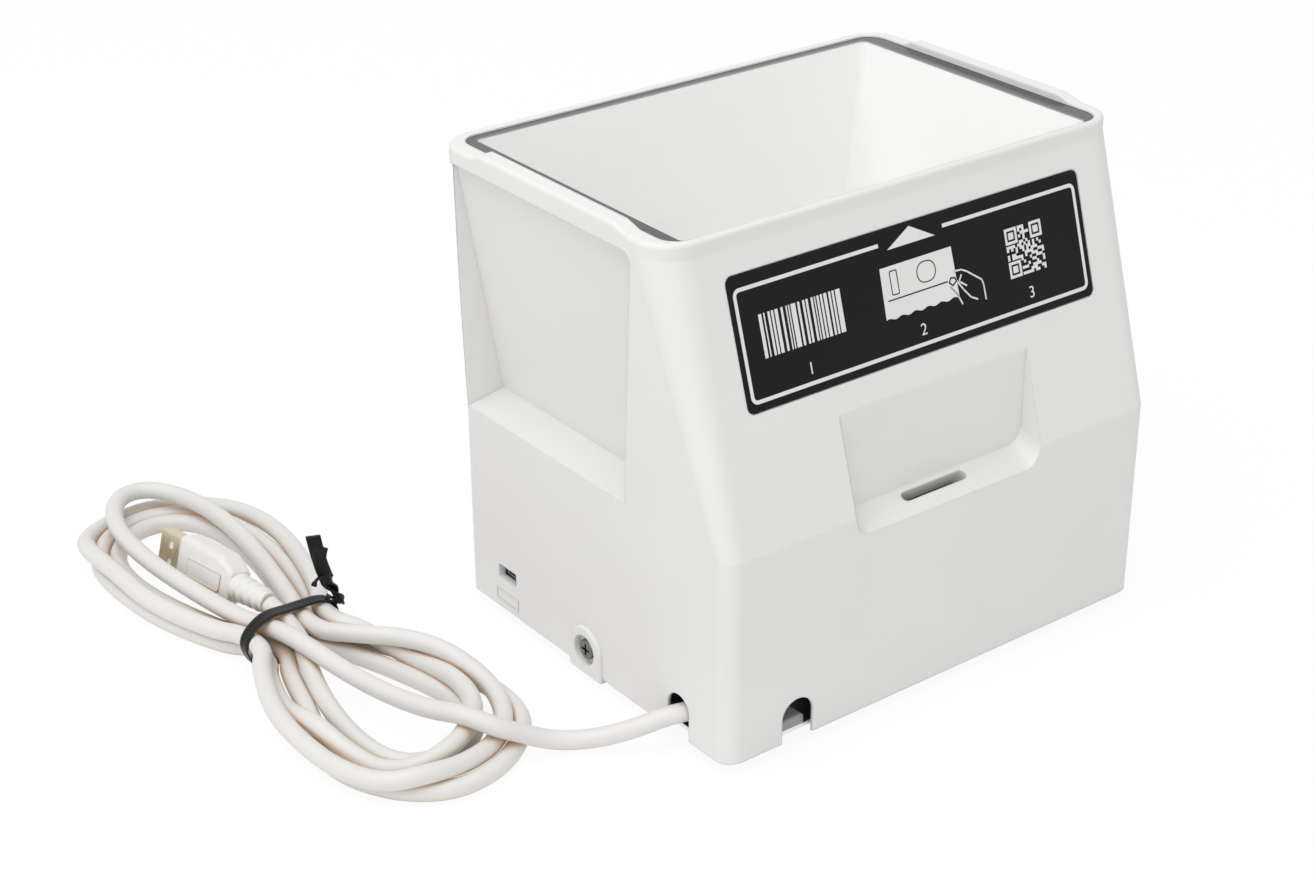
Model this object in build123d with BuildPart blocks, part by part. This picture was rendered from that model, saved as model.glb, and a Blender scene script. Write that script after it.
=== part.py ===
from build123d import *
import math
import os

# A desk-top scanner for passports and identity cards. A tall moulded cover with a glass window
# on top drops over a steel base plate that carries the camera, the lights and the cord.
# X runs along the front face, Y towards the back and Z up. The origin lies on the table, under
# the middle of the scanner itself, without the cord. All lengths are in millimetres.

# Outer cover
cover_width = 148.0
cover_front = -59.85
cover_rear = 56.0
cover_bottom = 3.2
kink_height = 61.4
rim_width = 154.7
rim_front = -37.65
rim_rear = 59.85
rim_bottom = 133.9
rim_top = 138.1
front_corner_radius = 5.0
rear_corner_radius = 2.0
rim_corner_radius = 10.0
rim_edge_radius = 1.3
wall = 2.2
inner_rear_radius = 0.6

# Rails on the left and right of the rim
rail_rise = 1.4
rail_front = -24.0
rail_rear = 42.4
rail_front_ramp = 5.4
rail_rear_ramp = 3.0
rail_edge_radius = 1.1

# Window, from the top down: glass, black gasket, flange of the light box, ledge of the cover
rim_side_wall = 4.7
rim_front_wall = 1.5
rim_rear_wall = 3.6
window_corner_radius = 6.0
glass_drop = 0.3
glass_thickness = 1.5
glass_clearance = 0.15
gasket_thickness = 0.5
border_side = 4.4
border_front = 1.5
border_rear = 1.5
clear_corner_radius = 2.0
flange_thickness = 1.2
ledge_thickness = 2.3

# Light box
box_wall = 1.0
box_clearance = 0.15
box_bottom = 66.0
box_grip_clearance = 1.1
box_bottom_front = -32.4
box_bottom_rear = 51.4
box_corner_radius = 3.0

# Grip recesses in the left and right sides
grip_top = 130.0
grip_top_outer = 133.7
grip_wall_top_inset = 0.65
grip_wall_bottom = 62.2
grip_ledge_inner = 63.7
grip_ledge_outer = 61.5
grip_front_top = -25.7
grip_front_bottom = -17.2
grip_rear_panel = 1.9
grip_front_radius = 3.0
grip_rear_radius = 0.1
grip_reach = 16.0
grip_below_ledge = 4.0

# Pocket across the kink of the front face
pocket_width = 65.0
pocket_back = -51.9
pocket_ledge_back = 59.9
pocket_ledge_front = 55.75
pocket_corner_radius = 5.0
pocket_reach = 12.0
pocket_slot_length = 22.2
pocket_slot_width = 2.9
pocket_slot_middle = -1.2
pocket_slot_share = 0.66
pocket_slot_depth = 5.5

# Label on the front slope, placed by its distance from the kink along the slope
label_width = 119.6
label_low = 34.5
label_high = 69.2
label_corner_radius = 2.2
label_depth = 0.6
label_thickness = 0.5
label_clearance = 0.25

# Arches for the cord, with a thin lip at the outer face
arch_lip = 0.8
arch_relief = 1.5
side_arch_middle = -39.9
side_arch_width = 8.7
side_arch_top = 15.5
front_arch_middle = -50.7
front_arch_width = 10.2
front_arch_top = 15.2

# Lock opening in the left side, and the raised frame under it
lock_middle_y = 37.85
lock_middle_z = 14.9
lock_opening_length = 8.5
lock_opening_height = 4.2
lock_slot_length = 7.0
lock_slot_height = 3.0
lock_slot_radius = 0.9
lock_tab_length = 12.0
lock_tab_top = 20.5
frame_middle_y = 38.2
frame_middle_z = 7.2
frame_length = 10.8
frame_height = 3.7
frame_line = 0.5
frame_rise = 0.2

# Screws that hold the cover, one on each side
screw_y = 0.3
screw_z = 9.3
boss_radius = 7.0
boss_rise = 1.0
boss_bottom = 1.8
boss_edge_radius = 0.7
head_recess_diameter = 8.8
head_recess_depth = 2.1
screw_diameter = 3.0
screw_running_gap = 0.05
screw_length = 8.2
head_diameter = 5.8
head_height = 1.6
head_edge_radius = 0.5
cross_width = 0.8
cross_length = 3.4
cross_depth = 0.9
nut_size = 8.4
nut_thickness = 2.4
nut_gap = 0.1

# Base plate
plate_bottom = 3.7
plate_thickness = 1.2
plate_gap = 0.3
plate_corner_radius = 2.5
catch_length = 15.0
catch_top = 15.0
catch_gap = 6.0

# Rubber feet
foot_diameter = 12.0
foot_inset_x = 12.0
foot_inset_front = 11.5
foot_inset_rear = 12.0

# Main board and its standoffs
board_thickness = 1.6
board_half_width = 45.0
board_front = -14.0
board_rear = 46.0
standoff_height = 5.0
standoff_diameter = 5.5
board_screw_inset = 4.0
small_head_diameter = 5.0
small_head_height = 1.6
small_screw_diameter = 2.5
processor_side = 15.0
processor_height = 1.3
processor_place = (-30.0, 36.0)
memory_length = 12.0
memory_width = 8.0
memory_height = 1.1
memory_places = ((-33.0, 18.0), (31.0, 38.0))
capacitor_diameter = 6.3
capacitor_height = 5.6
capacitor_places = ((31.0, 24.0), (39.0, 24.0), (31.0, 15.0))
sounder_diameter = 12.0
sounder_height = 7.5
sounder_place = (33.0, 0.0)
sounder_hole = 2.0

# Camera
camera_y = 10.9
camera_board_side = 40.0
camera_board_bottom = 22.0
camera_screw_inset = 3.6
spacer_diameter = 5.0
sensor_side = 10.0
sensor_height = 1.4
holder_side = 18.0
holder_height = 11.0
holder_wall = 2.0
holder_corner_radius = 1.5
lens_thread_diameter = 12.0
lens_fit_gap = 0.05
lens_head_diameter = 15.0
lens_thread_start = 28.5
lens_head_height = 11.0
lens_edge_radius = 0.6
lens_glass_diameter = 11.0
lens_glass_recess = 1.6
lens_glass_thickness = 1.2
lens_glass_edge_radius = 0.8
ribbon_width = 9.0
ribbon_thickness = 0.4
ribbon_landing = 4.0
ribbon_reach = 6.0

# Optics tray on four posts
tray_bottom = 57.0
tray_thickness = 1.8
tray_half_width = 57.0
tray_front = -30.5
tray_rear = 49.5
tray_corner_radius = 4.0
tray_lens_hole = 24.0
post_diameter = 7.0
post_inset = 6.0
post_hole_depth = 10.0
tray_screw_reach = 8.0

# Light strips on the tray
strip_width = 9.0
strip_length = 70.0
strip_x = 40.0
strip_thickness = 1.6
led_count = 6
led_length = 3.5
led_width = 2.8
led_height = 1.0

# Cord, its saddle, clamp, socket and connector inside
cord_diameter = 5.2
saddle_width = 8.0
saddle_depth = 9.3
saddle_height = 3.0
saddle_edge_radius = 0.8
clamp_length = 6.0
clamp_wall = 2.6
clamp_foot = 8.0
clamp_foot_height = 2.6
clamp_edge_radius = 1.2
socket_width = 11.0
socket_depth = 7.0
socket_height = 6.5
connector_width = 10.0
connector_depth = 9.0
connector_height = 6.0
connector_x = -27.0
connector_overhang = 1.0
cord_first_run = 12.0
cord_places = (
    (-32.3, -44.8, 12.9),
    (-42.6, -51.0, 11.1),
    (-54.6, -50.6, 10.5),
    (-65.2, -44.2, 10.6),
    (-75.6, -39.4, 10.0),
    (-83.8, -35.0, 6.6),
    (-92.4, -28.9, 3.6),
    (-101.3, -22.9, 3.0),
    (-109.6, -18.4, 4.0),
)

# Hank of the cord beside the scanner
hank_height = 15.0
hank_middle_x = -129.3
hank_middle_y = 66.2
hank_length = 187.5
hank_lobe = 27.7
hank_waist = 13.5
hank_waist_spread = 32.0
hank_lean = -0.065
hank_steps = 20
hank_holes = ((-125.5, 12.0, 13.0, 25.0), (-133.0, 116.0, 14.5, 31.0))

# Twist tie round the hank
tie_y = 60.0
tie_width = 5.0
tie_thickness = 0.8
tie_gap = 0.1
tie_inner_half = 13.0
tie_inner_height = 13.0
tie_tail_x = 9.0
tie_tail_width = 4.5
tie_tail_thickness = 1.2
tie_tail_height = 22.0
tie_corner_radius = 1.5

# Plug
shell_width = 12.0
shell_height = 4.5
shell_length = 11.7
shell_metal = 0.35
shell_corner_radius = 0.5
shell_window = 2.2
shell_window_spacing = 5.2
shell_window_from_tip = 5.4
tongue_thickness = 1.8
tongue_setback = 0.6
contact_width = 1.0
contact_thickness = 0.2
contact_spacing = 2.3
contact_count = 4
contact_setback = 3.0
overmould_width = 15.6
overmould_height = 8.2
overmould_length = 26.0
overmould_radius = 2.4
overmould_edge_radius = 1.2
plug_room = 0.6
plug_room_ahead = 3.0
relief_start_diameter = 7.6
relief_end_diameter = 6.4
relief_length = 15.0
relief_rib_count = 4
relief_rib_groove = 0.7
plug_roll = 19.0
plug_junction = (-135.6, 111.0, 8.6)
plug_tip_direction = (-0.1, 0.992, -0.075)

# Worked-out places
cover_depth = cover_rear - cover_front
half_width = cover_width / 2
rim_half_width = rim_width / 2
plate_top = plate_bottom + plate_thickness
glass_top = rim_top - glass_drop
gasket_top = glass_top - glass_thickness
flange_top = gasket_top - gasket_thickness
ledge_top = flange_top - flange_thickness
ledge_underside = ledge_top - ledge_thickness
opening_half_width = rim_half_width - rim_side_wall
opening_front = rim_front + rim_front_wall
opening_rear = rim_rear - rim_rear_wall
clear_half_width = opening_half_width - border_side
grip_wall_top = opening_half_width - grip_wall_top_inset
clear_front = opening_front + border_front
clear_rear = opening_rear - border_rear
side_arch_spring = side_arch_top - side_arch_width / 2
front_arch_spring = front_arch_top - front_arch_width / 2
wall_inner_x = half_width - wall
plate_half_width = wall_inner_x - plate_gap
board_bottom = plate_top + standoff_height
board_top = board_bottom + board_thickness
camera_board_top = camera_board_bottom + board_thickness
tray_top = tray_bottom + tray_thickness


def between(z, low, high):
    """Place of a leaning wall at the height z, from its places at the kink and under the rim."""
    share = (z - kink_height) / (rim_bottom - kink_height)
    return low + (high - low) * share


def side_at(z):
    return between(z, half_width, rim_half_width)


def front_at(z):
    return between(z, cover_front, rim_front)


def rear_at(z):
    return between(z, cover_rear, rim_rear)


def grip_wall_at(z):
    """Place of the grip recess's leaning wall at the height z."""
    share = (z - grip_ledge_inner) / (grip_top - grip_ledge_inner)
    return grip_wall_bottom + (grip_wall_top - grip_wall_bottom) * share


def outline(half, front, rear, front_radius, rear_radius):
    """Plan outline with round corners, on the XY plane."""
    corners = [(-half, front), (half, front), (half, rear), (-half, rear)]
    radii = [front_radius, front_radius, rear_radius, rear_radius]
    with BuildSketch() as plan:
        with BuildLine():
            FilletPolyline(*corners, radius=radii, close=True)
        make_face()
    return plan.sketch


def grip_cutter(growth):
    """The room of the right grip recess, grown by a wall where the growth isn't zero."""
    outside = half_width + grip_reach
    ledge_fall = (grip_ledge_inner - grip_ledge_outer) / (half_width - grip_wall_bottom)
    outside_low = grip_ledge_outer - ledge_fall * grip_reach
    rear_low = cover_rear - grip_rear_panel
    rear_top = rear_at(grip_top_outer) - grip_rear_panel
    with BuildPart() as cutter:
        with BuildSketch(Plane.XZ):
            with BuildLine():
                Polyline(
                    (grip_wall_top, grip_top),
                    (grip_wall_bottom, grip_ledge_inner),
                    (outside, outside_low),
                    (outside, grip_top_outer),
                    (rim_half_width, grip_top_outer),
                    close=True,
                )
            make_face()
            if growth:
                offset(amount=growth, kind=Kind.INTERSECTION)
        extrude(amount=2 * cover_depth, both=True)
        with BuildSketch(Plane.YZ):
            with BuildLine():
                FilletPolyline(
                    (grip_front_top, grip_top_outer),
                    (grip_front_bottom, grip_ledge_outer - grip_below_ledge),
                    (rear_low, grip_ledge_outer - grip_below_ledge),
                    (rear_top, grip_top_outer),
                    radius=[grip_front_radius, grip_rear_radius, grip_rear_radius, grip_rear_radius],
                    close=True,
                )
            make_face()
            if growth:
                offset(amount=growth, kind=Kind.INTERSECTION)
        extrude(amount=outside + growth, mode=Mode.INTERSECT)
    return cutter.part


def pocket_cutter(growth):
    """The room of the front pocket, grown by a wall where the growth isn't zero."""
    front = cover_front - pocket_reach
    fall = (pocket_ledge_back - pocket_ledge_front) / (pocket_back - cover_front)
    front_low = pocket_ledge_back - fall * (pocket_back - front)
    with BuildPart() as cutter:
        with BuildSketch(Plane.YZ):
            with BuildLine():
                Polyline(
                    (pocket_back, rim_bottom),
                    (pocket_back, pocket_ledge_back),
                    (front, front_low),
                    (front, rim_bottom),
                    close=True,
                )
            make_face()
            if growth:
                offset(amount=growth, kind=Kind.INTERSECTION)
        extrude(amount=pocket_width / 2 + growth, both=True)
        low_faces = cutter.faces().filter_by(lambda face: face.normal_at().Z < -0.5)
        ledge_edges = low_faces[0].edges().filter_by(lambda edge: abs(edge.tangent_at(0.5).X) < 0.1)
        fillet(ledge_edges, radius=pocket_corner_radius + growth)
    return cutter.part


# Outer cover
slope_rise = Vector(0, rim_front - cover_front, rim_bottom - kink_height)
slope_plane = Plane(
    origin=(0, cover_front, kink_height),
    x_dir=(1, 0, 0),
    z_dir=Vector(1, 0, 0).cross(slope_rise),
)
left_face = Plane(origin=(-half_width, 0, 0), x_dir=(0, -1, 0), z_dir=(-1, 0, 0))
right_face = Plane(origin=(half_width, 0, 0), x_dir=(0, 1, 0), z_dir=(1, 0, 0))
grip_right = grip_cutter(0.0)
grip_left = grip_right.mirror(Plane.YZ)
grip_right_grown = grip_cutter(wall)
grip_left_grown = grip_right_grown.mirror(Plane.YZ)
pocket = pocket_cutter(0.0)
pocket_grown = pocket_cutter(wall)
ledge_depth = pocket_back - cover_front
ledge_rise = pocket_ledge_back - pocket_ledge_front
slot_plane = Plane(
    origin=(
        pocket_slot_middle,
        cover_front + pocket_slot_share * ledge_depth,
        pocket_ledge_front + pocket_slot_share * ledge_rise,
    ),
    x_dir=(1, 0, 0),
    z_dir=(0, -ledge_rise, ledge_depth),
)

# The hollow inside the cover
inner_front_radius = front_corner_radius - wall
inner_rim_radius = rim_corner_radius - wall
with BuildPart() as hollow:
    with BuildSketch(Plane.XY):
        add(
            outline(
                wall_inner_x,
                cover_front + wall,
                cover_rear - wall,
                inner_front_radius,
                inner_rear_radius,
            )
        )
    extrude(amount=kink_height)
    with BuildSketch(Plane.XY.offset(kink_height)):
        add(
            outline(
                wall_inner_x,
                cover_front + wall,
                cover_rear - wall,
                inner_front_radius,
                inner_rear_radius,
            )
        )
    with BuildSketch(Plane.XY.offset(ledge_underside)):
        add(
            outline(
                side_at(ledge_underside) - wall,
                front_at(ledge_underside) + wall,
                rear_at(ledge_underside) - wall,
                inner_rim_radius,
                inner_rim_radius,
            )
        )
    loft(ruled=True)
    add(grip_right_grown, mode=Mode.SUBTRACT)
    add(grip_left_grown, mode=Mode.SUBTRACT)
    add(pocket_grown, mode=Mode.SUBTRACT)
    # A collar stays round the slot in the pocket's ledge
    with BuildSketch(slot_plane):
        Rectangle(pocket_slot_length + 2 * wall, pocket_slot_width + 2 * wall)
    extrude(amount=-pocket_slot_depth, mode=Mode.SUBTRACT)

with BuildPart() as rail:
    with BuildSketch(Plane.YZ.offset(opening_half_width)):
        with BuildLine():
            Polyline(
                (rail_front, rim_top),
                (rail_front + rail_front_ramp, rim_top + rail_rise),
                (rail_rear - rail_rear_ramp, rim_top + rail_rise),
                (rail_rear, rim_top),
                (rail_rear, rim_bottom),
                (rail_front, rim_bottom),
                close=True,
            )
        make_face()
    extrude(amount=rim_side_wall)
    outer_edges = rail.faces().sort_by(Axis.X)[-1].edges()
    fillet(outer_edges.filter_by(lambda edge: edge.center().Z > rim_top), radius=rail_edge_radius)

with BuildPart() as boss:
    with BuildSketch(right_face):
        with Locations((screw_y, screw_z)):
            Circle(boss_radius)
        with Locations((screw_y, (screw_z + boss_bottom) / 2)):
            Rectangle(2 * boss_radius, screw_z - boss_bottom)
    extrude(amount=boss_rise)
    extrude(boss.faces().sort_by(Axis.X)[0], amount=wall)
    fillet(boss.faces().sort_by(Axis.X)[-1].edges(), radius=boss_edge_radius)

with BuildPart() as outer_cover:
    with BuildSketch(Plane.XY.offset(cover_bottom)):
        add(outline(half_width, cover_front, cover_rear, front_corner_radius, rear_corner_radius))
    extrude(amount=kink_height - cover_bottom)
    with BuildSketch(Plane.XY.offset(kink_height)):
        add(outline(half_width, cover_front, cover_rear, front_corner_radius, rear_corner_radius))
    with BuildSketch(Plane.XY.offset(rim_bottom)):
        add(outline(rim_half_width, rim_front, rim_rear, rim_corner_radius, rim_corner_radius))
    loft(ruled=True)
    with BuildSketch(Plane.XY.offset(rim_bottom)):
        add(outline(rim_half_width, rim_front, rim_rear, rim_corner_radius, rim_corner_radius))
    extrude(amount=rim_top - rim_bottom)
    fillet(outer_cover.faces().sort_by(Axis.Z)[-1].edges(), radius=rim_edge_radius)
    add(rail.part)
    add(rail.part.mirror(Plane.YZ))
    # Recesses and pocket
    add(grip_right, mode=Mode.SUBTRACT)
    add(grip_left, mode=Mode.SUBTRACT)
    add(pocket, mode=Mode.SUBTRACT)
    # Screw bosses
    add(boss.part)
    add(boss.part.mirror(Plane.YZ))
    # Hollow, window step and ledge
    add(hollow.part, mode=Mode.SUBTRACT)
    with BuildSketch(Plane.XY.offset(ledge_top)):
        add(
            outline(
                opening_half_width,
                opening_front,
                opening_rear,
                window_corner_radius,
                window_corner_radius,
            )
        )
    extrude(amount=rim_top + rail_rise, mode=Mode.SUBTRACT)
    with BuildSketch(Plane.XY.offset(ledge_underside - wall)):
        add(
            outline(
                clear_half_width + box_wall + box_clearance,
                clear_front - box_wall - box_clearance,
                clear_rear + box_wall + box_clearance,
                box_corner_radius,
                box_corner_radius,
            )
        )
    extrude(amount=2 * wall + ledge_thickness, mode=Mode.SUBTRACT)
    # Label recess
    with BuildSketch(slope_plane):
        with Locations((0, (label_low + label_high) / 2)):
            RectangleRounded(label_width, label_high - label_low, label_corner_radius)
    extrude(amount=-label_depth, mode=Mode.SUBTRACT)
    # Cord arches, each wider behind its lip
    for relief, depth in ((0, 0), (arch_relief, arch_lip)):
        with BuildSketch(left_face.offset(-depth)):
            with Locations((-side_arch_middle, side_arch_spring)):
                Circle(side_arch_width / 2 + relief)
            with Locations((-side_arch_middle, side_arch_spring / 2)):
                Rectangle(side_arch_width + 2 * relief, side_arch_spring)
        extrude(amount=-2 * wall, mode=Mode.SUBTRACT)
        with BuildSketch(Plane.XZ.offset(-cover_front - depth)):
            with Locations((front_arch_middle, front_arch_spring)):
                Circle(front_arch_width / 2 + relief)
            with Locations((front_arch_middle, front_arch_spring / 2)):
                Rectangle(front_arch_width + 2 * relief, front_arch_spring)
        extrude(amount=-2 * wall, mode=Mode.SUBTRACT)
    # Lock opening and the raised frame under it
    with BuildSketch(left_face):
        with Locations((-lock_middle_y, lock_middle_z)):
            RectangleRounded(lock_opening_length, lock_opening_height, frame_line)
    extrude(amount=-2 * wall, mode=Mode.SUBTRACT)
    with BuildSketch(left_face):
        with Locations((-frame_middle_y, frame_middle_z)):
            Rectangle(frame_length, frame_height)
            Rectangle(
                frame_length - 2 * frame_line, frame_height - 2 * frame_line, mode=Mode.SUBTRACT
            )
    extrude(amount=frame_rise)
    # Slot in the ledge of the pocket
    with BuildSketch(slot_plane):
        SlotOverall(pocket_slot_length, pocket_slot_width)
    extrude(amount=-pocket_slot_depth - wall, mode=Mode.SUBTRACT)
    # Head recess and hole of each cover screw
    for face in (left_face, right_face):
        middle = -screw_y if face is left_face else screw_y
        with BuildSketch(face.offset(boss_rise)):
            with Locations((middle, screw_z)):
                Circle(head_recess_diameter / 2)
        extrude(amount=-head_recess_depth, mode=Mode.SUBTRACT)
        with BuildSketch(face.offset(boss_rise)):
            with Locations((middle, screw_z)):
                Circle(screw_diameter / 2 + screw_running_gap)
        extrude(amount=-boss_rise - 2 * wall, mode=Mode.SUBTRACT)
outer_cover.part.label = "outer_cover"
export_step(outer_cover.part, "parts/outer_cover.step")
print("outer_cover", outer_cover.part.volume, len(outer_cover.part.solids()))

# Window glass
with BuildPart() as window_glass:
    with BuildSketch(Plane.XY.offset(gasket_top)):
        add(
            outline(
                opening_half_width - glass_clearance,
                opening_front + glass_clearance,
                opening_rear - glass_clearance,
                window_corner_radius - glass_clearance,
                window_corner_radius - glass_clearance,
            )
        )
    extrude(amount=glass_thickness)
window_glass.part.label = "window_glass"
export_step(window_glass.part, "parts/window_glass.step")

# Black gasket between the glass and the flange of the light box, seen as a border
with BuildPart() as window_gasket:
    with BuildSketch(Plane.XY.offset(flange_top)):
        add(
            outline(
                opening_half_width - glass_clearance,
                opening_front + glass_clearance,
                opening_rear - glass_clearance,
                window_corner_radius - glass_clearance,
                window_corner_radius - glass_clearance,
            )
        )
        add(
            outline(
                clear_half_width, clear_front, clear_rear, clear_corner_radius, clear_corner_radius
            ),
            mode=Mode.SUBTRACT,
        )
    extrude(amount=gasket_thickness)
window_gasket.part.label = "window_gasket"
export_step(window_gasket.part, "parts/window_gasket.step")

# Light box: four pale leaning walls that hang from a flange on the cover's ledge
box_bottom_half_width = grip_wall_at(box_bottom) - wall - box_grip_clearance
with BuildPart() as light_box:
    with BuildSketch(Plane.XY.offset(box_bottom)):
        add(
            outline(
                box_bottom_half_width,
                box_bottom_front,
                box_bottom_rear,
                box_corner_radius,
                box_corner_radius,
            )
        )
    with BuildSketch(Plane.XY.offset(ledge_top)):
        add(
            outline(
                clear_half_width + box_wall,
                clear_front - box_wall,
                clear_rear + box_wall,
                box_corner_radius,
                box_corner_radius,
            )
        )
    loft(ruled=True)
    with BuildSketch(Plane.XY.offset(ledge_top)):
        add(
            outline(
                opening_half_width - glass_clearance,
                opening_front + glass_clearance,
                opening_rear - glass_clearance,
                window_corner_radius - glass_clearance,
                window_corner_radius - glass_clearance,
            )
        )
    extrude(amount=flange_thickness)
    with BuildSketch(Plane.XY.offset(box_bottom)):
        add(
            outline(
                box_bottom_half_width - box_wall,
                box_bottom_front + box_wall,
                box_bottom_rear - box_wall,
                box_corner_radius - box_wall,
                box_corner_radius - box_wall,
            )
        )
    with BuildSketch(Plane.XY.offset(flange_top)):
        add(
            outline(
                clear_half_width, clear_front, clear_rear, clear_corner_radius, clear_corner_radius
            )
        )
    loft(ruled=True, mode=Mode.SUBTRACT)
light_box.part.label = "light_box"
export_step(light_box.part, "parts/light_box.step")

# Label in the recess of the front slope
with BuildPart() as front_label:
    with BuildSketch(slope_plane.offset(-label_depth)):
        with Locations((0, (label_low + label_high) / 2)):
            RectangleRounded(
                label_width - 2 * label_clearance,
                label_high - label_low - 2 * label_clearance,
                label_corner_radius - label_clearance,
            )
    extrude(amount=label_thickness)
front_label.part.label = "front_label"
export_step(front_label.part, "parts/front_label.step")

# Base plate with a tab that holds the lock slot
plate_side = left_face.offset(plate_half_width - half_width)
with BuildPart() as base_plate:
    with BuildSketch(Plane.XY.offset(plate_bottom)):
        add(
            outline(
                plate_half_width,
                cover_front + wall + plate_gap,
                cover_rear - wall - plate_gap,
                plate_corner_radius,
                inner_rear_radius,
            )
        )
    extrude(amount=plate_thickness)
    with BuildSketch(plate_side):
        with Locations((-lock_middle_y, (plate_top + lock_tab_top) / 2)):
            Rectangle(lock_tab_length, lock_tab_top - plate_top)
        with Locations((-lock_middle_y, lock_middle_z)):
            RectangleRounded(
                lock_slot_length, lock_slot_height, lock_slot_radius, mode=Mode.SUBTRACT
            )
    extrude(amount=-plate_thickness)
base_plate.part.label = "base_plate"
export_step(base_plate.part, "parts/base_plate.step")

# Catches for the cover screws: two prongs on each side, with a gap that is open at the top
prong_length = (catch_length - catch_gap) / 2
prong_middle = (catch_length + catch_gap) / 4
with BuildPart() as cover_catches:
    with BuildSketch(plate_side):
        with Locations(
            (-screw_y - prong_middle, (plate_top + catch_top) / 2),
            (-screw_y + prong_middle, (plate_top + catch_top) / 2),
        ):
            Rectangle(prong_length, catch_top - plate_top)
    extrude(amount=-plate_thickness)
    mirror(about=Plane.YZ)
cover_catches.part.label = "cover_catches"
export_step(cover_catches.part, "parts/cover_catches.step")

# Four rubber feet under the plate
foot_x = half_width - foot_inset_x
foot_front = cover_front + foot_inset_front
foot_rear = cover_rear - foot_inset_rear
with BuildPart() as rubber_feet:
    with BuildSketch(Plane.XY):
        with Locations(*[(x, y) for x in (-foot_x, foot_x) for y in (foot_front, foot_rear)]):
            Circle(foot_diameter / 2)
    extrude(amount=plate_bottom)
rubber_feet.part.label = "rubber_feet"
export_step(rubber_feet.part, "parts/rubber_feet.step")

# Cover screws along X. The left one is made as the mirror image of the right one.
head_bottom = half_width + boss_rise - head_recess_depth
with BuildPart() as cover_screw_right:
    with BuildSketch(right_face.offset(head_bottom - half_width)):
        with Locations((screw_y, screw_z)):
            Circle(head_diameter / 2)
    extrude(amount=head_height)
    fillet(cover_screw_right.edges().group_by(Axis.X)[-1], radius=head_edge_radius)
    with BuildSketch(right_face.offset(head_bottom - half_width)):
        with Locations((screw_y, screw_z)):
            Circle(screw_diameter / 2)
    extrude(amount=-screw_length)
    with BuildSketch(right_face.offset(head_bottom - half_width + head_height)):
        with Locations((screw_y, screw_z)):
            Rectangle(cross_length, cross_width)
            Rectangle(cross_width, cross_length)
    extrude(amount=-cross_depth, mode=Mode.SUBTRACT)
cover_screw_right.part.label = "cover_screw_right"
export_step(cover_screw_right.part, "parts/cover_screw_right.step")
with BuildPart() as cover_screw_left:
    add(cover_screw_right.part.mirror(Plane.YZ))
cover_screw_left.part.label = "cover_screw_left"
export_step(cover_screw_left.part, "parts/cover_screw_left.step")

# Square nut plates behind the catches, carried by the screws
nut_outer = plate_half_width - plate_thickness - nut_gap
with BuildPart() as cover_nuts:
    with BuildSketch(Plane.YZ.offset(nut_outer)):
        with Locations((screw_y, screw_z)):
            Rectangle(nut_size, nut_size)
            Circle(screw_diameter / 2 + screw_running_gap, mode=Mode.SUBTRACT)
    extrude(amount=-nut_thickness)
    mirror(about=Plane.YZ)
cover_nuts.part.label = "cover_nuts"
export_step(cover_nuts.part, "parts/cover_nuts.step")

# Main board on four brass standoffs
screw_half_x = board_half_width - board_screw_inset
screw_ys = (board_front + board_screw_inset, board_rear - board_screw_inset)
board_screw_places = [(x, y) for x in (-screw_half_x, screw_half_x) for y in screw_ys]
small_hole = small_screw_diameter / 2 + screw_running_gap
board_middle = (board_front + board_rear) / 2
with BuildPart() as board_standoffs:
    with BuildSketch(Plane.XY.offset(plate_top)):
        with Locations(*board_screw_places):
            RegularPolygon(standoff_diameter / 2, 6)
            Circle(small_hole, mode=Mode.SUBTRACT)
    extrude(amount=standoff_height)
board_standoffs.part.label = "board_standoffs"
export_step(board_standoffs.part, "parts/board_standoffs.step")

with BuildPart() as main_board:
    with BuildSketch(Plane.XY.offset(board_bottom)):
        with Locations((0, board_middle)):
            Rectangle(2 * board_half_width, board_rear - board_front)
        with Locations(*board_screw_places):
            Circle(small_hole, mode=Mode.SUBTRACT)
    extrude(amount=board_thickness)
main_board.part.label = "main_board"
export_step(main_board.part, "parts/main_board.step")

with BuildPart() as board_screws:
    with BuildSketch(Plane.XY.offset(board_top)):
        with Locations(*board_screw_places):
            Circle(small_head_diameter / 2)
    extrude(amount=small_head_height)
    with BuildSketch(Plane.XY.offset(board_top)):
        with Locations(*board_screw_places):
            Circle(small_screw_diameter / 2)
    extrude(amount=-board_thickness - standoff_height)
    with BuildSketch(Plane.XY.offset(board_top + small_head_height)):
        with Locations(*board_screw_places):
            Rectangle(cross_length, cross_width)
            Rectangle(cross_width, cross_length)
    extrude(amount=-cross_depth, mode=Mode.SUBTRACT)
board_screws.part.label = "board_screws"
export_step(board_screws.part, "parts/board_screws.step")

# Chips and capacitors on the main board
with BuildPart() as board_chips:
    with BuildSketch(Plane.XY.offset(board_top)):
        with Locations(processor_place):
            Rectangle(processor_side, processor_side)
    extrude(amount=processor_height)
    with BuildSketch(Plane.XY.offset(board_top)):
        with Locations(*memory_places):
            Rectangle(memory_length, memory_width)
    extrude(amount=memory_height)
    with BuildSketch(Plane.XY.offset(board_top)):
        with Locations(*capacitor_places):
            Circle(capacitor_diameter / 2)
    extrude(amount=capacitor_height)
board_chips.part.label = "board_chips"
export_step(board_chips.part, "parts/board_chips.step")

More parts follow.
